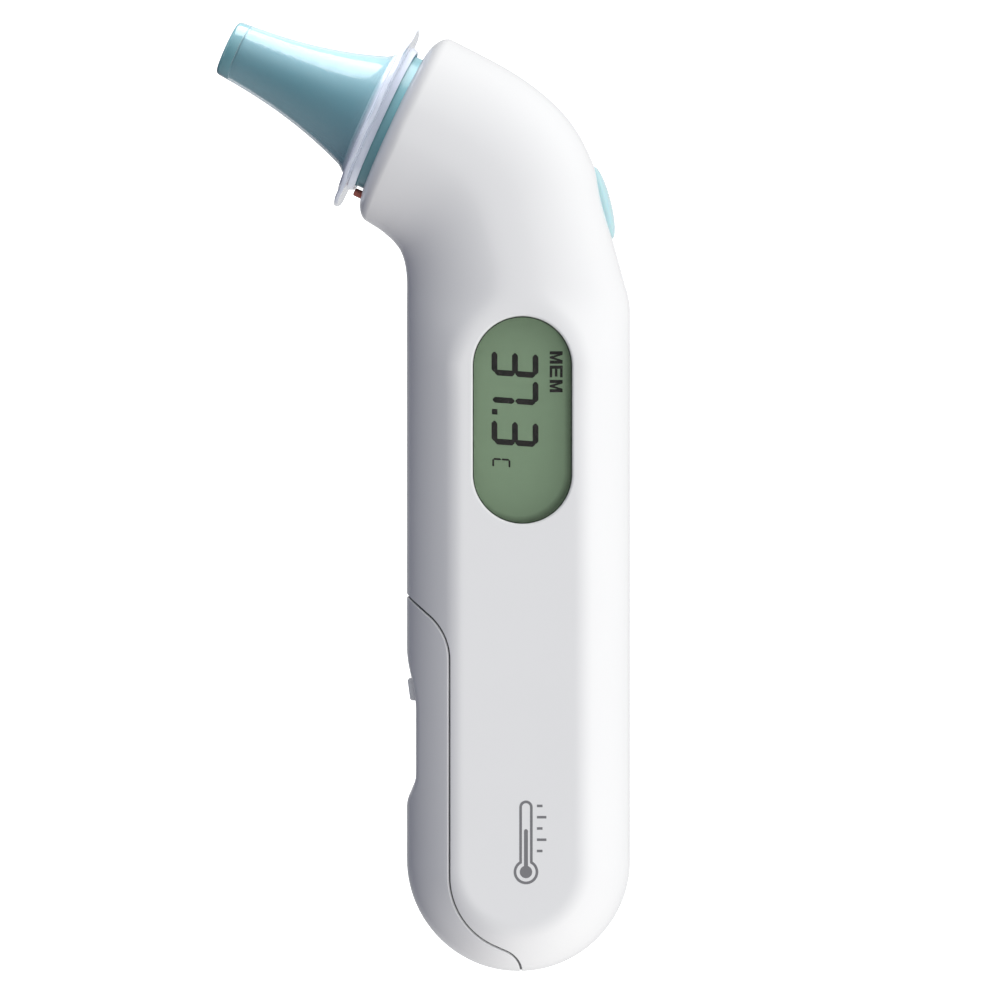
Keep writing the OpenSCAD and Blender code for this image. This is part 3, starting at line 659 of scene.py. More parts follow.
def lathe(name, profile, base, segments, shape=None, closed=True, angle=35):
    """Turns a profile of (radius, height) about a tilted frame's own Z, and shape(r, h, a) may bend it.

    A profile that isn't closed starts and ends near the axis.
    """
    a = np.linspace(0, 2 * math.pi, segments, endpoint=False)
    rings = []
    for r, h in profile:
        r, h = np.full(segments, float(r)), np.full(segments, float(h))
        if shape is not None:
            r, h = shape(r, h, a)
        rings.append(place(base, np.stack([r * np.cos(a), r * np.sin(a), h], 1)))
    return stack(name, rings, closed, angle)


def join(name, objects):
    """One object from several, keeping their meshes as separate shells."""
    bm = bmesh.new()
    for o in objects:
        bm.from_mesh(o.data)
        bpy.data.objects.remove(o)
    mesh = bpy.data.meshes.new(name)
    bm.to_mesh(mesh)
    bm.free()
    return linked(name, mesh)


def slab(name, outline, y0, y1, round_front, round_back, steps=4):
    """A plate from y0 (front) to y1 with rounded rims. outline(g) is its outline in x and z, grown by g."""
    def ring(inset, y):
        p = outline(-inset)
        return np.stack([p[:, 0], np.full(len(p), y), p[:, 1]], 1)

    turns = [math.pi / 2 * k / steps for k in range(steps + 1)]
    rings = [ring(round_front * (1 - math.sin(a)), y0 + round_front * (1 - math.cos(a))) for a in turns]
    rings += [ring(round_back * (1 - math.cos(a)), y1 - round_back * (1 - math.sin(a))) for a in turns]
    return stack(name, rings)


# ---------- shells ----------
front = shell("display_side_shell", -1, [HOUSING_SEAM, WINDOW, START, PIN])
back = shell("back_side_shell", 1, [HOUSING_SEAM, START, PIN] + SCREW_HOLES)
door = shell("battery_door_shell", -1, [DOOR_SEAM, MEMORY], dish=True, mirror=True, parted=False)


def turned(x, z, way):
    """A frame whose Z runs along Y, for things turned about a line across the body."""
    return np.array([x, 0, z]), np.array([1.0, 0, 0]), np.array([0, float(way), 0])


def screw_posts(name, way, outline):
    """The screw posts of one housing half. outline(reach) is a post's section, out to the wall at reach."""
    posts = [lathe(f"{name}_{k}", soften(outline(reach)), turned(x, z, way), 48)
             for k, (x, z, reach) in enumerate(SCREWS)]
    return join(name, posts)


front_posts = screw_posts("display_side_posts", -1, lambda reach: [
    (0.92, -1.9, 0.15), (2.6, -1.9, 0.2), (2.6, reach - 1.4, 0.6), (3.3, reach, 0), (0.92, reach, 0)])
back_posts = screw_posts("back_side_posts", 1, lambda reach: [
    (1.1, 1.95, 0.1), (3.4, 1.95, 0.3), (3.4, reach - 1.4, 0.6), (4.0, reach, 0), (2.2, reach, 0),
    (2.2, 4, 0.1), (1.1, 4, 0.1)])


def block(name, x, y, z):
    """A moulded block between two values of x, y and z, with rounded edges along Y and at both ends."""
    r = 0.3

    def outline(g):
        w, h = x[1] - x[0] + 2 * g, z[1] - z[0] + 2 * g
        return rounded_box((sum(x) / 2, sum(z) / 2), w, h, max(r + g, 0.02))
    return slab(name, outline, *y, r * 0.8, r * 0.8, 3)


hook_sides = ((-4, -1), (1, 4))
hooks = [block(f"hook_{k}", (-13.3, -12.2), y, (49.5, 56.5)) for k, y in enumerate(hook_sides)]
hooks += [block(f"hook_foot_{k}", (-15.2, -12.2), y, (49.5, 51.2)) for k, y in enumerate(hook_sides)]
hooks.append(block("tongue", (-4.6, 2.4), (-3, 3), (3.5, 4.5)))
hooks.append(block("tongue_foot", (-4.6, -3.4), (-3, 3), (1.6, 4.5)))
door_hooks = join("battery_door_hooks", hooks)

# ---------- display ----------
pane = slab("display_pane", lambda g: window_outline(g - 0.05), -14.05, -12.72, 0.25, 0.0)
pane_rim = slab("display_pane_flange", lambda g: window_outline(g + 0.8), -12.69, -11.9, 0.1, 0.1)
LCD_FRONT = -10.9


def drawn(name, shapes, y, t):
    """Flat printed or driven shapes lying on a plane that faces -Y, as thin plates."""
    points, faces = [], []
    for s in shapes:
        s = np.asarray(s, float)
        n0, n = len(points), len(s)
        points += [(x, y - t, z) for x, z in s] + [(x, y, z) for x, z in s]
        faces.append(tuple(range(n0, n0 + n)))
        faces.append(tuple(range(n0 + 2 * n - 1, n0 + n - 1, -1)))
        faces += [(n0 + j, n0 + n + j, n0 + n + (j + 1) % n, n0 + (j + 1) % n) for j in range(n)]
    o = mesh_object(name, points, faces, smooth_faces=False)
    bm = bmesh.new()
    bm.from_mesh(o.data)
    bmesh.ops.recalc_face_normals(bm, faces=bm.faces)
    bm.to_mesh(o.data)
    bm.free()
    return o


def turned_text(u0, x0, slant, shapes):
    """Shapes drawn upright, turned a quarter clockwise: up becomes +X and right becomes -Z."""
    return [[(x0 + v, u0 - u - slant * v) for u, v in s] for s in shapes]


def bar(p, q, w):
    """A segment from p to q with blunt pointed ends."""
    cut = 0.85
    d = (q - p) / np.linalg.norm(q - p)
    n = np.array([-d[1], d[0]]) * w / 2
    a, b = p + d * w / 2 * cut, q - d * w / 2 * cut
    return [p + n * 0.25, p - n * 0.25, a - n, b - n, q - n * 0.25, q + n * 0.25, b + n, a + n]


def digit(which, w, h, t, gap=0.06):
    """A seven-segment digit, w wide and h high."""
    x0, x1, y0, y1, y2 = t / 2, w - t / 2, 0.1 if which == "7" else t / 2, h / 2, h - t / 2
    ends = {"a": ((x0, y2), (x1, y2)), "g": ((x0, y1), (x1, y1)), "d": ((x0, y0), (x1, y0)),
            "f": ((x0, y1), (x0, y2)), "b": ((x1, y1), (x1, y2)),
            "e": ((x0, y0), (x0, y1)), "c": ((x1, y0), (x1, y1))}
    out = []
    for s in {"3": "abgcd", "7": "abc", "C": "afed"}[which]:
        p, q = (np.array(e, float) for e in ends[s])
        d = (q - p) / np.linalg.norm(q - p)
        out.append(bar(p + d * gap, q - d * gap, t))
    return out


SLANT = math.tan(math.radians(4))
shapes = turned_text(89.9, -3.9, SLANT, digit("3", 3.85, 6.7, 0.84))
shapes += turned_text(86.0, -3.9, SLANT, digit("7", 3.85, 6.7, 0.84))
shapes += [[(-3.85, 81.25), (-3.05, 81.2), (-3.05, 80.4), (-3.85, 80.45)]]
shapes += turned_text(80.05, -3.9, SLANT, digit("3", 3.85, 6.7, 0.84))
shapes += turned_text(74.25, -3.8, SLANT, digit("C", 1.4, 2.6, 0.28, 0.04))


def letters(word, u0, x0, w, h, t, space):
    """Condensed capitals M and E out of plain strokes."""
    m, e = w / 2, t * 0.8
    glyphs = {
        "M": [(0, 0), (t, 0), (t, 0.62 * h), (m - 0.3 * t, 0), (m + 0.3 * t, 0), (w - t, 0.62 * h),
              (w - t, 0), (w, 0), (w, h), (w - 1.1 * t, h), (m, 0.36 * h), (1.1 * t, h), (0, h)],
        "E": [(0, 0), (w - 0.1, 0), (w - 0.1, e), (t, e), (t, (h - e) / 2), (w - 0.2, (h - e) / 2),
              (w - 0.2, (h + e) / 2), (t, (h + e) / 2), (t, h - e), (w - 0.1, h - e), (w - 0.1, h), (0, h)]}
    out = [[(k * (w + space) + u, v) for u, v in glyphs[c]] for k, c in enumerate(word)]
    return turned_text(u0, x0, 0.0, out)


shapes += letters("MEM", 89.45, 4.4, 1.78, 1.85, 0.46, 0.26)
digits = drawn("display_digits", shapes, LCD_FRONT, 0.02)


def band(outline_out, outline_in):
    """A closed printed line between two equal outlines, as quads."""
    quads = zip(outline_out, np.roll(outline_out, -1, 0), np.roll(outline_in, -1, 0), outline_in)
    return [list(q) for q in quads]


def bulb_outline(r, w, top):
    """A round bulb with a stem of half width w on it."""
    c = (1.0, 15.4)
    a = math.degrees(math.asin(w / r))
    return np.vstack([arc(c, r, 90 + a, 450 - a, 40), arc((c[0], top), w, 0, 180, 20)])


# Printed pictogram of a thermometer: outline, filled column and a scale of long and short marks
pictogram = band(bulb_outline(1.75, 0.95, 24.6), bulb_outline(1.37, 0.57, 24.6))
pictogram += [bulb_outline(0.88, 0.28, 21.2)]
for k, z in enumerate((18.2, 19.8, 21.4, 23.0, 24.6)):
    end = 3.9 if k % 2 else 3.35
    pictogram.append([(2.55, z), (end, z), (end, z + 0.36), (2.55, z + 0.36)])
pictogram = drawn("printed_pictogram", pictogram, -HALF_T, 0.012)
# Dark line printed round the back of the window pane
pane_border = drawn("display_pane_border", band(window_outline(0.5), window_outline(-0.14)), -12.7, 0.012)


def seam_shade_strip(name, sunk=0.22, half=0.13):
    """A dark strip of painted shade that lies in the gap round the door, just under the surface, where the
    seam would be in shade.
    """
    line = seam_to_layout(loop_points(seam_curve(0), 0.3, closed=False))
    line = line[in_layout(line, -0.5)]
    rings = []
    for side in (-1, 1):
        P, _, _, N = tangents(line, side)
        d = np.gradient(P, axis=0)
        across = np.cross(N, d)
        across *= half / np.linalg.norm(across, axis=1)[:, None]
        mid, deep = P - N * sunk, N * 0.2
        rings.append([mid - across, mid + across, mid + across - deep, mid - across - deep])
    parts = [stack(f"{name}_{k}", list(np.stack(r, 1)), angle=80) for k, r in enumerate(rings)]
    return join(name, parts)


# Painted shade along the door's seam
seam_shade = seam_shade_strip("seam_painted_shade")

# ---------- buttons ----------
def oval_ring(grow, h, flat=1.0):
    """One ring of the start button, grown all round and then scaled by flat, at height h."""
    p = oval((START_LEN / 2 + grow) * flat, (START_W / 2 + grow) * flat, 96)
    return place(START_FRAME, np.column_stack([p, np.full(len(p), h)]))


START_RISE = 1.15
flange_and_side = [(0.5, -3.6), (0.6, -3.5), (0.6, -2.8), (0.5, -2.7), (0.12, -2.7), (0, -2.6), (0, -0.5),
                   (0, -0.12)]
rings = [oval_ring(grow, h) for grow, h in flange_and_side]
for a in np.radians([3, 7, 12, 18, 25, 33, 42, 51, 60, 69, 77, 84, 88.5]):
    rings.append(oval_ring(0, START_RISE * math.sin(a), math.cos(a)))
start_button = stack("start_button_cap", rings)
start_stem = lathe("start_button_stem", [
    (0.02, -7.8), (1.3, -7.8), (1.47, -7.74), (1.5, -7.6), (1.5, -4.1), (1.6, -3.8), (1.9, -3.62),
    (0.02, -3.62)], START_FRAME, 64, closed=False)


def tab_ring(x, grow, lean=0.0):
    """One ring of the memory button's tab at x, grown all round and leaning with height."""
    p = rounded_box((0, MEMORY_Z), MEMORY_W + 2 * grow, MEMORY_H + 2 * grow, max(0.7 + grow, 0.1))
    return np.column_stack([x - lean * (p[:, 1] - MEMORY_Z), p])


TAB_X, TAB_LEAN, TAB_ROUND = -15.55, 0.14, 0.3
rings = [tab_ring(-12.6, -0.2), tab_ring(-12.7, -0.05), tab_ring(-12.9, 0)]
for a in np.radians([0, 20, 40, 60, 80, 90]):
    rings.append(tab_ring(TAB_X - TAB_ROUND * math.sin(a), -TAB_ROUND * (1 - math.cos(a)), TAB_LEAN))
memory_button = stack("memory_button_tab", rings)
sideways = (np.array([0, 0, MEMORY_Z]), np.array([0, 0, -1.0]), np.array([1.0, 0, 0]))
memory_stem = lathe("memory_button_stem", [
    (0.02, -12.55), (1.9, -12.55), (1.6, -12.35), (1.5, -12.0), (1.5, -9.4), (1.45, -9.25), (1.3, -9.2),
    (0.02, -9.2)], sideways, 64, closed=False)

# ---------- probe ----------
def cone_r(h):
    """Outer radius of the lens filter at height h from the nose face."""
    s = 1 - (h - 5) / 20
    return 4.25 + 1.7 * s + 2.65 * max(s, 0) ** 2.3


TIP_H = FILTER_LEN - 1.8
ring = lathe("ejector_ring_band", soften([
    (8.91, -6.8, 0.2), (RING_R, -6.8, 0.2), (RING_R, 2.8, 0.35), (8.91, 2.8, 0.2)]), NOSE_FRAME, 192)
cone = [(8.85, -8.2, 0.1), (8.85, 2.9, 0.6)]
cone += [(cone_r(h) - 0.42, h, 0) for h in np.arange(5, TIP_H - 1, 0.8)]
cone += [(cone_r(TIP_H) - 0.46, TIP_H, 0.35), (2.62, TIP_H, 0.12), (2.62, TIP_H - 2.5, 0)]
cone += [(cone_r(h) - 1.75, h, 0) for h in np.arange(21.5, 5, -1.5)]
cone += [(7.55, 3, 0), (7.55, -8.2, 0.1)]
probe = lathe("probe_cone_shell", soften(cone), NOSE_FRAME, 192)


def ruffle(r, h, a):
    """The thin rim of the filter is never quite round or flat."""
    k = np.clip((r - 12.2) / 2.1, 0, 1)
    wave = 0.5 * np.sin(9 * a + 0.7) + 0.3 * np.sin(17 * a + 2.1) + 0.2 * np.sin(5 * a)
    lift = 0.6 * np.sin(6 * a + 1.3) + 0.4 * np.sin(13 * a)
    return r + k * (0.22 * wave - 0.12), h + k * 0.16 * lift


TIP_R = cone_r(FILTER_LEN - 1)
# Flange and bead, out along the cone, round the open tip and back inside
filter_outline = [(10.75, 1.3, 0.1), (11.0, 1.3, 0.12), (11.4, 2.3, 0.25), (14.25, 2.48, 0.1),
                  (FLANGE_R, 3.1, 0.2), (12.4, 3.2, 0.1), (12.1, 3.42, 0.1), (9.85, 3.42, 0.12),
                  (9.5, 3.55, 0.1), (9.32, 4.1, 0.1), (9.02, 4.35, 0.1)]
filter_outline += [(cone_r(h), h, 0) for h in np.arange(5, FILTER_LEN - 1.2, 0.7)]
filter_outline += [(TIP_R - 0.08, FILTER_LEN, 0.8), (3.0, FILTER_LEN, 0.05), (3.0, FILTER_LEN - 0.3, 0),
                   (TIP_R - 0.7, FILTER_LEN - 0.45, 0.4)]
filter_outline += [(cone_r(h) - 0.36, h, 0) for h in np.arange(FILTER_LEN - 1.3, 5, -0.7)]
filter_outline += [(9.0, 4.15, 0.1), (8.97, 3.5, 0.1), (8.97, 2.95, 0.1), (10.75, 2.9, 0.15)]
lens_filter = lathe("lens_filter_cup", soften(filter_outline, 4), NOSE_FRAME, 256, ruffle, angle=28)
pin_x, pin_z = np.array([NOSE_X, NOSE_Z]) - PIN_OFF * NOSE_ACROSS
pin = lathe("detector_pin_rod", [
    (0.02, -7.1), (0.45, -7.1), (PIN_R, -6.95), (PIN_R, -2.92), (0.7, -2.9), (0.85, -2.8), (0.85, -2.3),
    (0.75, -2.2), (PIN_R, -2.18), (PIN_R, 0.95), (0.55, 1.08), (0.47, 1.16), (0.3, 1.2), (0.02, 1.2),
], frame_of(pin_x, pin_z, -NOSE_TILT), 48, closed=False)

# ---------- materials ----------
def feed(nt, node, inputs):
    """Sets a node's inputs, by name or number, to values or to other nodes' outputs."""
    for k, v in inputs.items():
        if isinstance(v, bpy.types.NodeSocket):
            nt.links.new(v, node.inputs[k])
        else:
            node.inputs[k].default_value = v


def add_node(nt, kind, inputs, **settings):
    """A new shader node of this kind with its settings and inputs."""
    node = nt.nodes.new("ShaderNode" + kind)
    for k, v in settings.items():
        setattr(node, k, v)
    feed(nt, node, inputs)
    return node


def nodes_of(name):
    """A new material, its node tree, its main shader and the object's coordinates."""
    m = bpy.data.materials.new(name)
    m.use_nodes = True
    nt = m.node_tree
    return m, nt, nt.nodes["Principled BSDF"], add_node(nt, "TexCoord", {}).outputs["Object"]


def noise(nt, coords, scale, detail=3.0, rough=0.5):
    inputs = {"Vector": coords, "Scale": scale, "Detail": detail, "Roughness": rough}
    return add_node(nt, "TexNoise", inputs).outputs["Fac"]


def spread(nt, value, low, high, start=0.3, end=0.7, curve="LINEAR"):
    """Maps value, where it runs from start to end, to low to high."""
    inputs = {"Value": value, "From Min": start, "From Max": end, "To Min": low, "To Max": high}
    return add_node(nt, "MapRange", inputs, interpolation_type=curve).outputs["Result"]


def maths(nt, operation, a, b=0.0):
    return add_node(nt, "Math", {0: a, 1: b}, operation=operation).outputs[0]


def blend_colours(nt, value, a, b):
    """Colour a where value is 0 and b where it is 1."""
    a, b = (v if isinstance(v, bpy.types.NodeSocket) else (*v, 1) for v in (a, b))
    return add_node(nt, "Mix", {0: value, 6: a, 7: b}, data_type="RGBA").outputs[2]


def varied(colour, vary):
    """The same colour a little darker and a little lighter."""
    return [c * (1 - vary) for c in colour], [min(1, c * (1 + vary)) for c in colour]


def bump(nt, bsdf, value, strength, distance):
    relief = add_node(nt, "Bump", {"Height": value, "Strength": strength, "Distance": distance})
    feed(nt, bsdf, {"Normal": relief.outputs["Normal"]})


def moulded(name, colour, rough, vary, grain, relief, depth=2e-5):
    """A surface whose colour, roughness and relief change slightly over it."""
    m, nt, bsdf, at = nodes_of(name)
    soft = spread(nt, noise(nt, at, grain * 0.08, 2), 0, 1)
    feed(nt, bsdf, {
        "Base Color": blend_colours(nt, soft, *varied(colour, vary)),
        "Roughness": spread(nt, noise(nt, at, grain * 0.3, 3), rough * 0.88, rough * 1.14)})
    bump(nt, bsdf, noise(nt, at, grain, 2), relief, depth)
    feed(nt, bsdf, EXTRAS.get(name, {}))
    return m


def brushed(name, colour, rough, stretch=(60, 60, 2400)):
    """Metal with fine drawn lines."""
    m, nt, bsdf, at = nodes_of(name)
    stretched = add_node(nt, "Mapping", {"Vector": at, "Scale": stretch}).outputs["Vector"]
    lines = noise(nt, stretched, 3, 4, 0.6)
    feed(nt, bsdf, {
        "Base Color": blend_colours(nt, spread(nt, lines, 0, 1), *varied(colour, 0.06)),
        "Roughness": spread(nt, lines, rough * 0.75, rough * 1.3), "Metallic": 1.0})
    bump(nt, bsdf, lines, 0.1, 1e-5)
    return m


def board(name):
    """Green solder mask with copper tracks and pads showing through it."""
    m, nt, bsdf, at = nodes_of(name)
    upright = add_node(nt, "Mapping", {"Vector": at, "Rotation": (math.radians(90), 0, 0)}).outputs["Vector"]
    tracks = add_node(nt, "TexBrick", {
        "Vector": upright, "Scale": 260.0, "Mortar Size": 0.035, "Brick Width": 1.4, "Row Height": 0.45,
        "Mortar Smooth": 0.1, "Color1": (0.012, 0.12, 0.045, 1), "Color2": (0.015, 0.14, 0.055, 1),
        "Mortar": (0.03, 0.24, 0.09, 1)}).outputs
    rough = spread(nt, noise(nt, at, 700, 2), 0.3, 0.42)
    feed(nt, bsdf, {"Base Color": tracks["Color"], "Roughness": rough})
    bump(nt, bsdf, tracks["Fac"], 0.2, 3e-5)
    return m


def clear(name, colour, rough, alpha_low, alpha_high, grain, relief):
    """Clear or milky plastic: how much it hides changes over it."""
    m, nt, bsdf, at = nodes_of(name)
    patchy = noise(nt, at, grain * 0.2, 3)
    feed(nt, bsdf, {
        "Base Color": blend_colours(nt, spread(nt, patchy, 0, 1), *varied(colour, 0.03)),
        "Roughness": spread(nt, noise(nt, at, grain, 2), rough * 0.8, rough * 1.2),
        "Alpha": spread(nt, patchy, alpha_low, alpha_high)})
    bump(nt, bsdf, patchy, relief, 4e-5)
    feed(nt, bsdf, EXTRAS.get(name, {}))
    return m


def lcd_glass():
    """Grey-green reflective display with painted shade, darker where the window's lower and outer edge would
    shade it, and a painted glow that stands in for light the deep recess keeps off it.
    """
    m, nt, bsdf, at = nodes_of("lcd_glass")
    parts = add_node(nt, "SeparateXYZ", {0: at}).outputs
    # Painted shade: the darkening is centred a little left of and above the window, so it falls on the right
    # and lower edges
    x = maths(nt, "SUBTRACT", parts["X"], (AXIS_X + WINDOW_X - 0.55) * MM)
    z = maths(nt, "ABSOLUTE", maths(nt, "SUBTRACT", parts["Z"], (WINDOW_Z + 0.6) * MM))
    z = maths(nt, "MAXIMUM", maths(nt, "SUBTRACT", z, (WINDOW_H - WINDOW_W) / 2 * MM))
    far = maths(nt, "SQRT", maths(nt, "ADD", maths(nt, "MULTIPLY", x, x), maths(nt, "MULTIPLY", z, z)))
    painted_edge_shade = spread(nt, far, 1.0, 0.45, (WINDOW_W / 2 - 0.55) * MM, (WINDOW_W / 2 + 0.35) * MM)
    level = maths(nt, "MULTIPLY", painted_edge_shade, spread(nt, noise(nt, at, 4000, 2), 0.985, 1.015))
    # Painted glow: the emission colour makes the display give light though it is no lamp; both colours carry
    # the painted shade
    for socket, colour in (("Base Color", (0.135, 0.195, 0.125)), ("Emission Color", (0.075, 0.108, 0.068))):
        tint = add_node(nt, "VectorMath", {0: colour, "Scale": level}, operation="SCALE")
        feed(nt, bsdf, {socket: tint.outputs[0]})
    rough = spread(nt, noise(nt, at, 1200, 3), 0.38, 0.48)
    feed(nt, bsdf, {"Emission Strength": 1.0, "Roughness": rough, "Specular IOR Level": 0.15})
    return m


def filter_skin():
    """Thin clear moulding: faint on the cone, milky on the flange and tinted round the empty tip."""
    m, nt, bsdf, at = nodes_of("filter_clear")
    along = add_node(nt, "VectorMath", {0: at, 1: NOSE_FRAME[2]}, operation="DOT_PRODUCT").outputs["Value"]
    base = float(NOSE_FRAME[2] @ (NOSE_FRAME[0] + [AXIS_X, 0, 0]))
    flange = spread(nt, along, 1.0, 0.0, (base + 3.5) * MM, (base + 4.4) * MM)
    tip = spread(nt, along, 0.0, 1.0, (base + TIP_H - 0.1) * MM, (base + TIP_H + 0.1) * MM)
    colour = blend_colours(nt, flange, (0.3, 0.51, 0.58), (0.68, 0.73, 0.85))
    colour = blend_colours(nt, tip, colour, (0.13, 0.3, 0.345))
    slant = add_node(nt, "LayerWeight", {"Blend": 0.34}).outputs["Facing"]
    alpha = spread(nt, noise(nt, at, 100, 3), 0.13, 0.17)
    for extra, amount in ((flange, 0.5), (tip, 0.55), (slant, 0.85)):
        more = {0: extra, 1: amount, 2: alpha}
        alpha = add_node(nt, "Math", more, operation="MULTIPLY_ADD", use_clamp=True).outputs[0]
    rough = spread(nt, noise(nt, at, 500, 2), 0.14, 0.24)
    feed(nt, bsdf, {"Base Color": colour, "Alpha": alpha, "Roughness": rough,
                    "Coat Weight": 1.0, "Coat Roughness": 0.1})
    bump(nt, bsdf, noise(nt, at, 350, 2), 0.25, 5e-5)
    return m


# Colour, roughness, variation, grain, relief and, on the foam, its depth
MOULDED = {
    "white_case": ((0.845, 0.845, 0.848), 0.235, 0.006, 900, 0.02),
    "white_door": ((0.835, 0.835, 0.84), 0.235, 0.006, 900, 0.02),
    "foam": ((0.05, 0.055, 0.05), 0.9, 0.3, 5000, 0.8, 1e-4),
    "inner_plastic": ((0.72, 0.72, 0.71), 0.45, 0.02, 1500, 0.1),
    "elastomer": ((0.6, 0.33, 0.36), 0.6, 0.08, 3000, 0.2),
    "chip_black": ((0.018, 0.018, 0.02), 0.5, 0.1, 4000, 0.3),
    "components": ((0.36, 0.24, 0.13), 0.4, 0.25, 4000, 0.1),
    "switch_grey": ((0.06, 0.06, 0.065), 0.5, 0.06, 2500, 0.15),
    "button_grey": ((0.62, 0.63, 0.66), 0.38, 0.02, 1600, 0.08),
    "flex_film": ((0.6, 0.27, 0.04), 0.3, 0.08, 900, 0.04),
    "button_aqua": ((0.46, 0.71, 0.75), 0.2, 0.012, 800, 0.02),
    "probe_teal": ((0.1, 0.275, 0.335), 0.235, 0.02, 900, 0.03),
    "sensor_window": ((0.25, 0.28, 0.32), 0.12, 0.02, 600, 0.02),
    "pin_red_brown": ((0.4, 0.1, 0.07), 0.32, 0.05, 1500, 0.05),
    "ring_teal": ((0.125, 0.31, 0.355), 0.32, 0.02, 1200, 0.04),
    "lcd_ink": ((0.02, 0.016, 0.017), 0.45, 0.05, 3000, 0.02),
    "border_ink": ((0.035, 0.045, 0.035), 0.5, 0.05, 3000, 0.02),
    # Painted shade in the door's seam
    "seam_painted_shade": ((0.075, 0.075, 0.08), 0.6, 0.1, 3000, 0.1),
    "print_ink": ((0.2, 0.2, 0.21), 0.5, 0.04, 4000, 0.05),
}
# Colour, roughness and, where it isn't drawn upwards, how the lines are stretched
BRUSHED = {
    "bright_metal": ((0.66, 0.66, 0.67), 0.2),
    "gilt_metal": ((0.8, 0.58, 0.25), 0.2),
    "block_metal": ((0.62, 0.62, 0.63), 0.38, (900, 900, 900)),
    "spring_steel": ((0.5, 0.5, 0.51), 0.2),
    "cell_steel": ((0.64, 0.64, 0.65), 0.2, (40, 2200, 2200)),
    "screw_steel": ((0.45, 0.45, 0.47), 0.38, (1500, 60, 1500)),
}
WHITE_COAT = {"Coat Weight": 0.35, "Coat Roughness": 0.06}
EXTRAS = {
    "white_case": WHITE_COAT,
    "white_door": WHITE_COAT,
    "button_aqua": {"Coat Weight": 0.4, "Coat Roughness": 0.05,
                    "Subsurface Weight": 0.12, "Subsurface Scale": 0.0015},
    "probe_teal": {"Coat Weight": 0.5, "Coat Roughness": 0.14},
    "ring_teal": {"Coat Weight": 0.2, "Coat Roughness": 0.12},
    "window_clear": {"Specular IOR Level": 0.08},
    "lcd_ink": {"Specular IOR Level": 0.1},
    "border_ink": {"Specular IOR Level": 0.15},
}
FINISHES = {name: moulded(name, *values) for name, values in MOULDED.items()}
FINISHES.update({name: brushed(name, *values) for name, values in BRUSHED.items()})
FINISHES.update({
    "window_clear": clear("window_clear", (0.3, 0.36, 0.3), 0.05, 0.008, 0.012, 300, 0.0),
    "filter_film": clear("filter_film", (0.8, 0.86, 0.88), 0.12, 0.2, 0.26, 700, 0.15),
    "filter_clear": filter_skin(),
    "lcd_glass": lcd_glass(),
    "circuit_board": board("circuit_board"),
})


def dress(o, body, finish, *stands_for):
    """Gives a piece its body and its finish, which is also its slot if the record has it."""
    o.data.materials.clear()
    o.data.materials.append(FINISHES[finish])
    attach(o, body)
    if stands_for:
        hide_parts(*stands_for)


dress(front, "housing", "white_case", "display_side_housing")
dress(back, "housing", "white_case", "back_side_housing")
dress(front_posts, "housing", "white_case")
dress(back_posts, "housing", "white_case")
dress(door, "battery_door", "white_door", "battery_door")
dress(door_hooks, "battery_door", "white_door")
dress(pane, "housing", "window_clear", "display_window")
dress(pane_rim, "housing", "window_clear")
dress(digits, "housing", "lcd_ink")
dress(pane_border, "housing", "border_ink")
dress(pictogram, "housing", "print_ink")
# The painted shade strip in the door's seam
dress(seam_shade, "housing", "seam_painted_shade")
dress(start_button, "start_button", "button_aqua", "start_button")
dress(start_stem, "start_button", "button_aqua")
dress(memory_button, "memory_button", "button_grey", "memory_button")
dress(memory_stem, "memory_button", "button_grey")
dress(ring, "ejector_ring", "ring_teal", "ejector_ring")
dress(probe, "housing", "probe_teal", "probe_cone")
dress(lens_filter, "lens_filter", "filter_clear", "lens_filter")
dress(pin, "detector_pin", "pin_red_brown", "detector_pin")
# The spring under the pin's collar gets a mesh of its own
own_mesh(frame["nodes"]["detector_spring"])

# Carried-over pieces keep their shape and get softened edges and the finish of their slot
for part in frame["record"]["subparts"]:
    o = frame["nodes"][part["node"]]
    if o.hide_render:
        continue
    o.data.materials.clear()
    o.data.materials.append(FINISHES[part["material_slot"]])
    weld = o.modifiers.new("weld", "WELD")
    weld.merge_threshold = 2e-6
    edge = o.modifiers.new("edges", "BEVEL")
    edge.width, edge.segments, edge.limit_method, edge.angle_limit = 0.00008, 2, "ANGLE", math.radians(40)
    o.modifiers.new("normals", "WEIGHTED_NORMAL")

# ---------- floor, light and camera ----------
def bowl():
    """A floor disc that rises into a round wall far from the object."""
    under, flat, rise, n = 0.00002, 1.4, 0.7, 128
    profile = [(0.3, 0.0), (0.9, 0.0), (flat, 0.0)]
    for a in np.linspace(0.05, math.pi / 2, 24):
        profile.append((flat + rise * math.sin(a), rise * (1 - math.cos(a))))
    profile.append((flat + rise, 2.2))
    turns = [2 * math.pi * j / n for j in range(n)]
    points = [(0, 0, -under)]
    points += [(r * math.cos(a), r * math.sin(a), z - under) for r, z in profile for a in turns]
    faces = [(0, 1 + j, 1 + (j + 1) % n) for j in range(n)]
    for a in range(1, 1 + (len(profile) - 1) * n, n):
        faces += [(a + j, a + n + j, a + n + (j + 1) % n, a + (j + 1) % n) for j in range(n)]
    mesh = bpy.data.meshes.new("floor")
    mesh.from_pydata(points, [], faces)
    mesh.polygons.foreach_set("use_smooth", [True] * len(mesh.polygons))
    o = linked("floor", mesh)
    m, nt, bsdf, at = nodes_of("floor_paper")
    feed(nt, bsdf, {
        "Base Color": blend_colours(nt, noise(nt, at, 3, 2), (0.86, 0.86, 0.86), (0.88, 0.88, 0.88)),
        "Roughness": 0.9, "Specular IOR Level": 0.1,
        "Emission Color": (1, 1, 1, 1), "Emission Strength": 0.75})
    mesh.materials.append(m)
    o.visible_diffuse = o.visible_glossy = o.visible_shadow = o.visible_transmission = False


bowl()


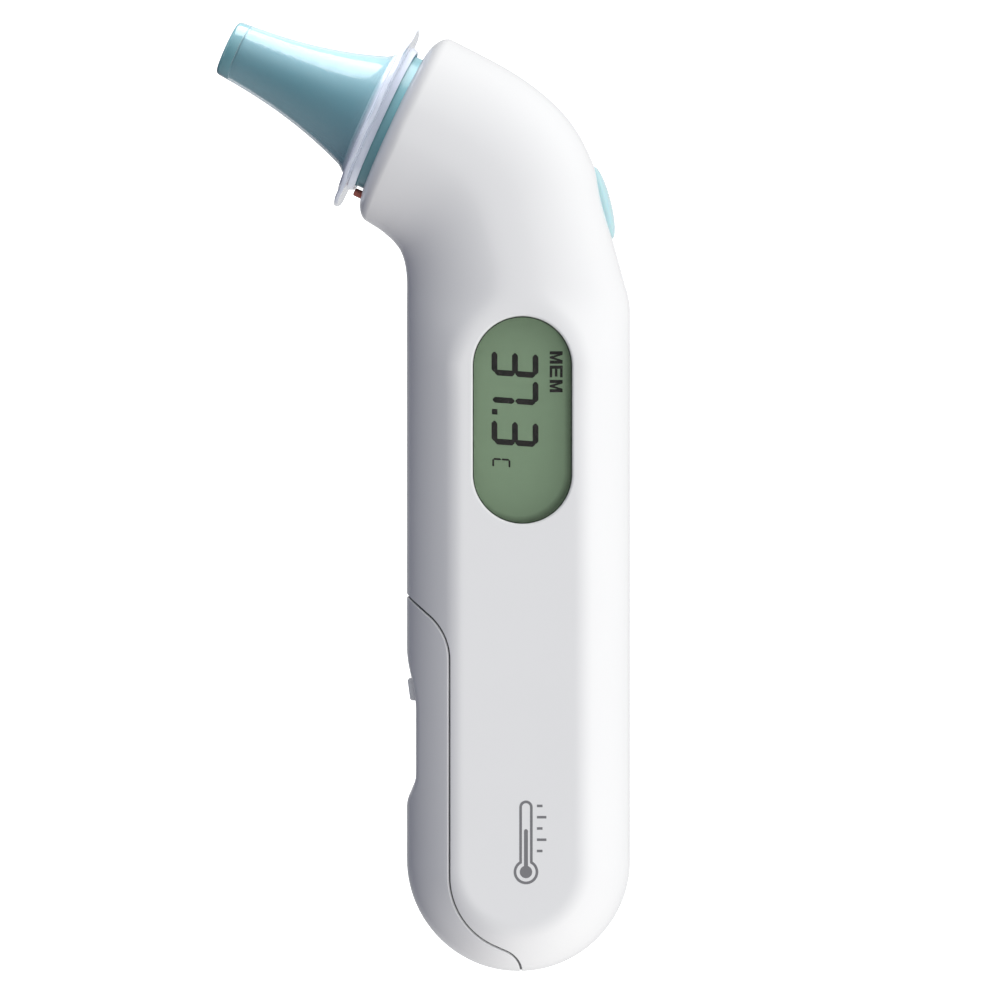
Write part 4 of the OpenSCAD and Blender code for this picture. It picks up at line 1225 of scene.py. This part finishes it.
def studio():
    """Soft light all round: dim from the left, bright from the front and right, brightest from above."""
    world = bpy.data.worlds.new("studio")
    bpy.context.scene.world = world
    world.use_nodes = True
    nt = world.node_tree
    nt.nodes.clear()
    parts = add_node(nt, "SeparateXYZ", {0: add_node(nt, "TexCoord", {}).outputs["Generated"]}).outputs
    total = (0.045, 0.056, 0.108)
    for axis, start, end, colour in (
            ("X", -0.55, 0.05, (0.915, 0.91, 0.87)), ("X", 0.15, 0.9, (0.12, 0.12, 0.12)),
            ("Z", 0.2, 1.0, (0.6, 0.6, 0.58)), ("Z", -0.2, -1.0, (0.5, 0.48, 0.45))):
        more = {0: spread(nt, parts[axis], 0.0, 1.0, start, end, "SMOOTHSTEP"), 1: colour, 2: total}
        total = add_node(nt, "VectorMath", more, operation="MULTIPLY_ADD").outputs[0]
    behind = spread(nt, parts["Y"], 1.0, 0.75, 0.0, 0.7, "SMOOTHSTEP")
    background = add_node(nt, "Background", {"Color": total, "Strength": behind})
    add_node(nt, "OutputWorld", {"Surface": background.outputs[0]})


studio()


def softbox(name, place_at, aim, width, height, watts):
    """A rectangular light at a place, turned towards another."""
    light = bpy.data.lights.new(name, "AREA")
    light.shape, light.size, light.size_y, light.energy = "RECTANGLE", width, height, watts
    o = linked(name, light)
    o.location = place_at
    o.rotation_mode = "QUATERNION"
    o.rotation_quaternion = (Vector(aim) - Vector(place_at)).to_track_quat("-Z", "Y")
    o.visible_camera = False
    return o


overhead = softbox("overhead", (0.1, 0.0, 0.7), (-0.02, 0, 0.12), 0.6, 0.5, 5.4)
# A second one from the front lightens the cone without a highlight of its own
fill = softbox("fill", (-0.05, -0.35, 0.45), (-0.04, 0, 0.125), 0.3, 0.3, 1.1)
fill.visible_glossy = False
probe_only = bpy.data.collections.new("probe_pieces")
for o in (lens_filter, probe, ring, pin, frame["nodes"]["filter_film"]):
    probe_only.objects.link(o)
for light in (overhead, fill):
    light.light_linking.receiver_collection = probe_only

camera_data = bpy.data.cameras.new("camera")
camera = linked("camera", camera_data)
camera_data.sensor_width = 36
camera_data.lens = 36 * 0.7 / 0.145
camera_data.clip_start, camera_data.clip_end = 0.01, 20
camera.location = ((AXIS_X - 2.69) * MM, -0.7, 0.06822)
camera.rotation_euler = (math.radians(90), 0, 0)
bpy.context.scene.camera = camera
bpy.context.scene.view_settings.view_transform = "Standard"
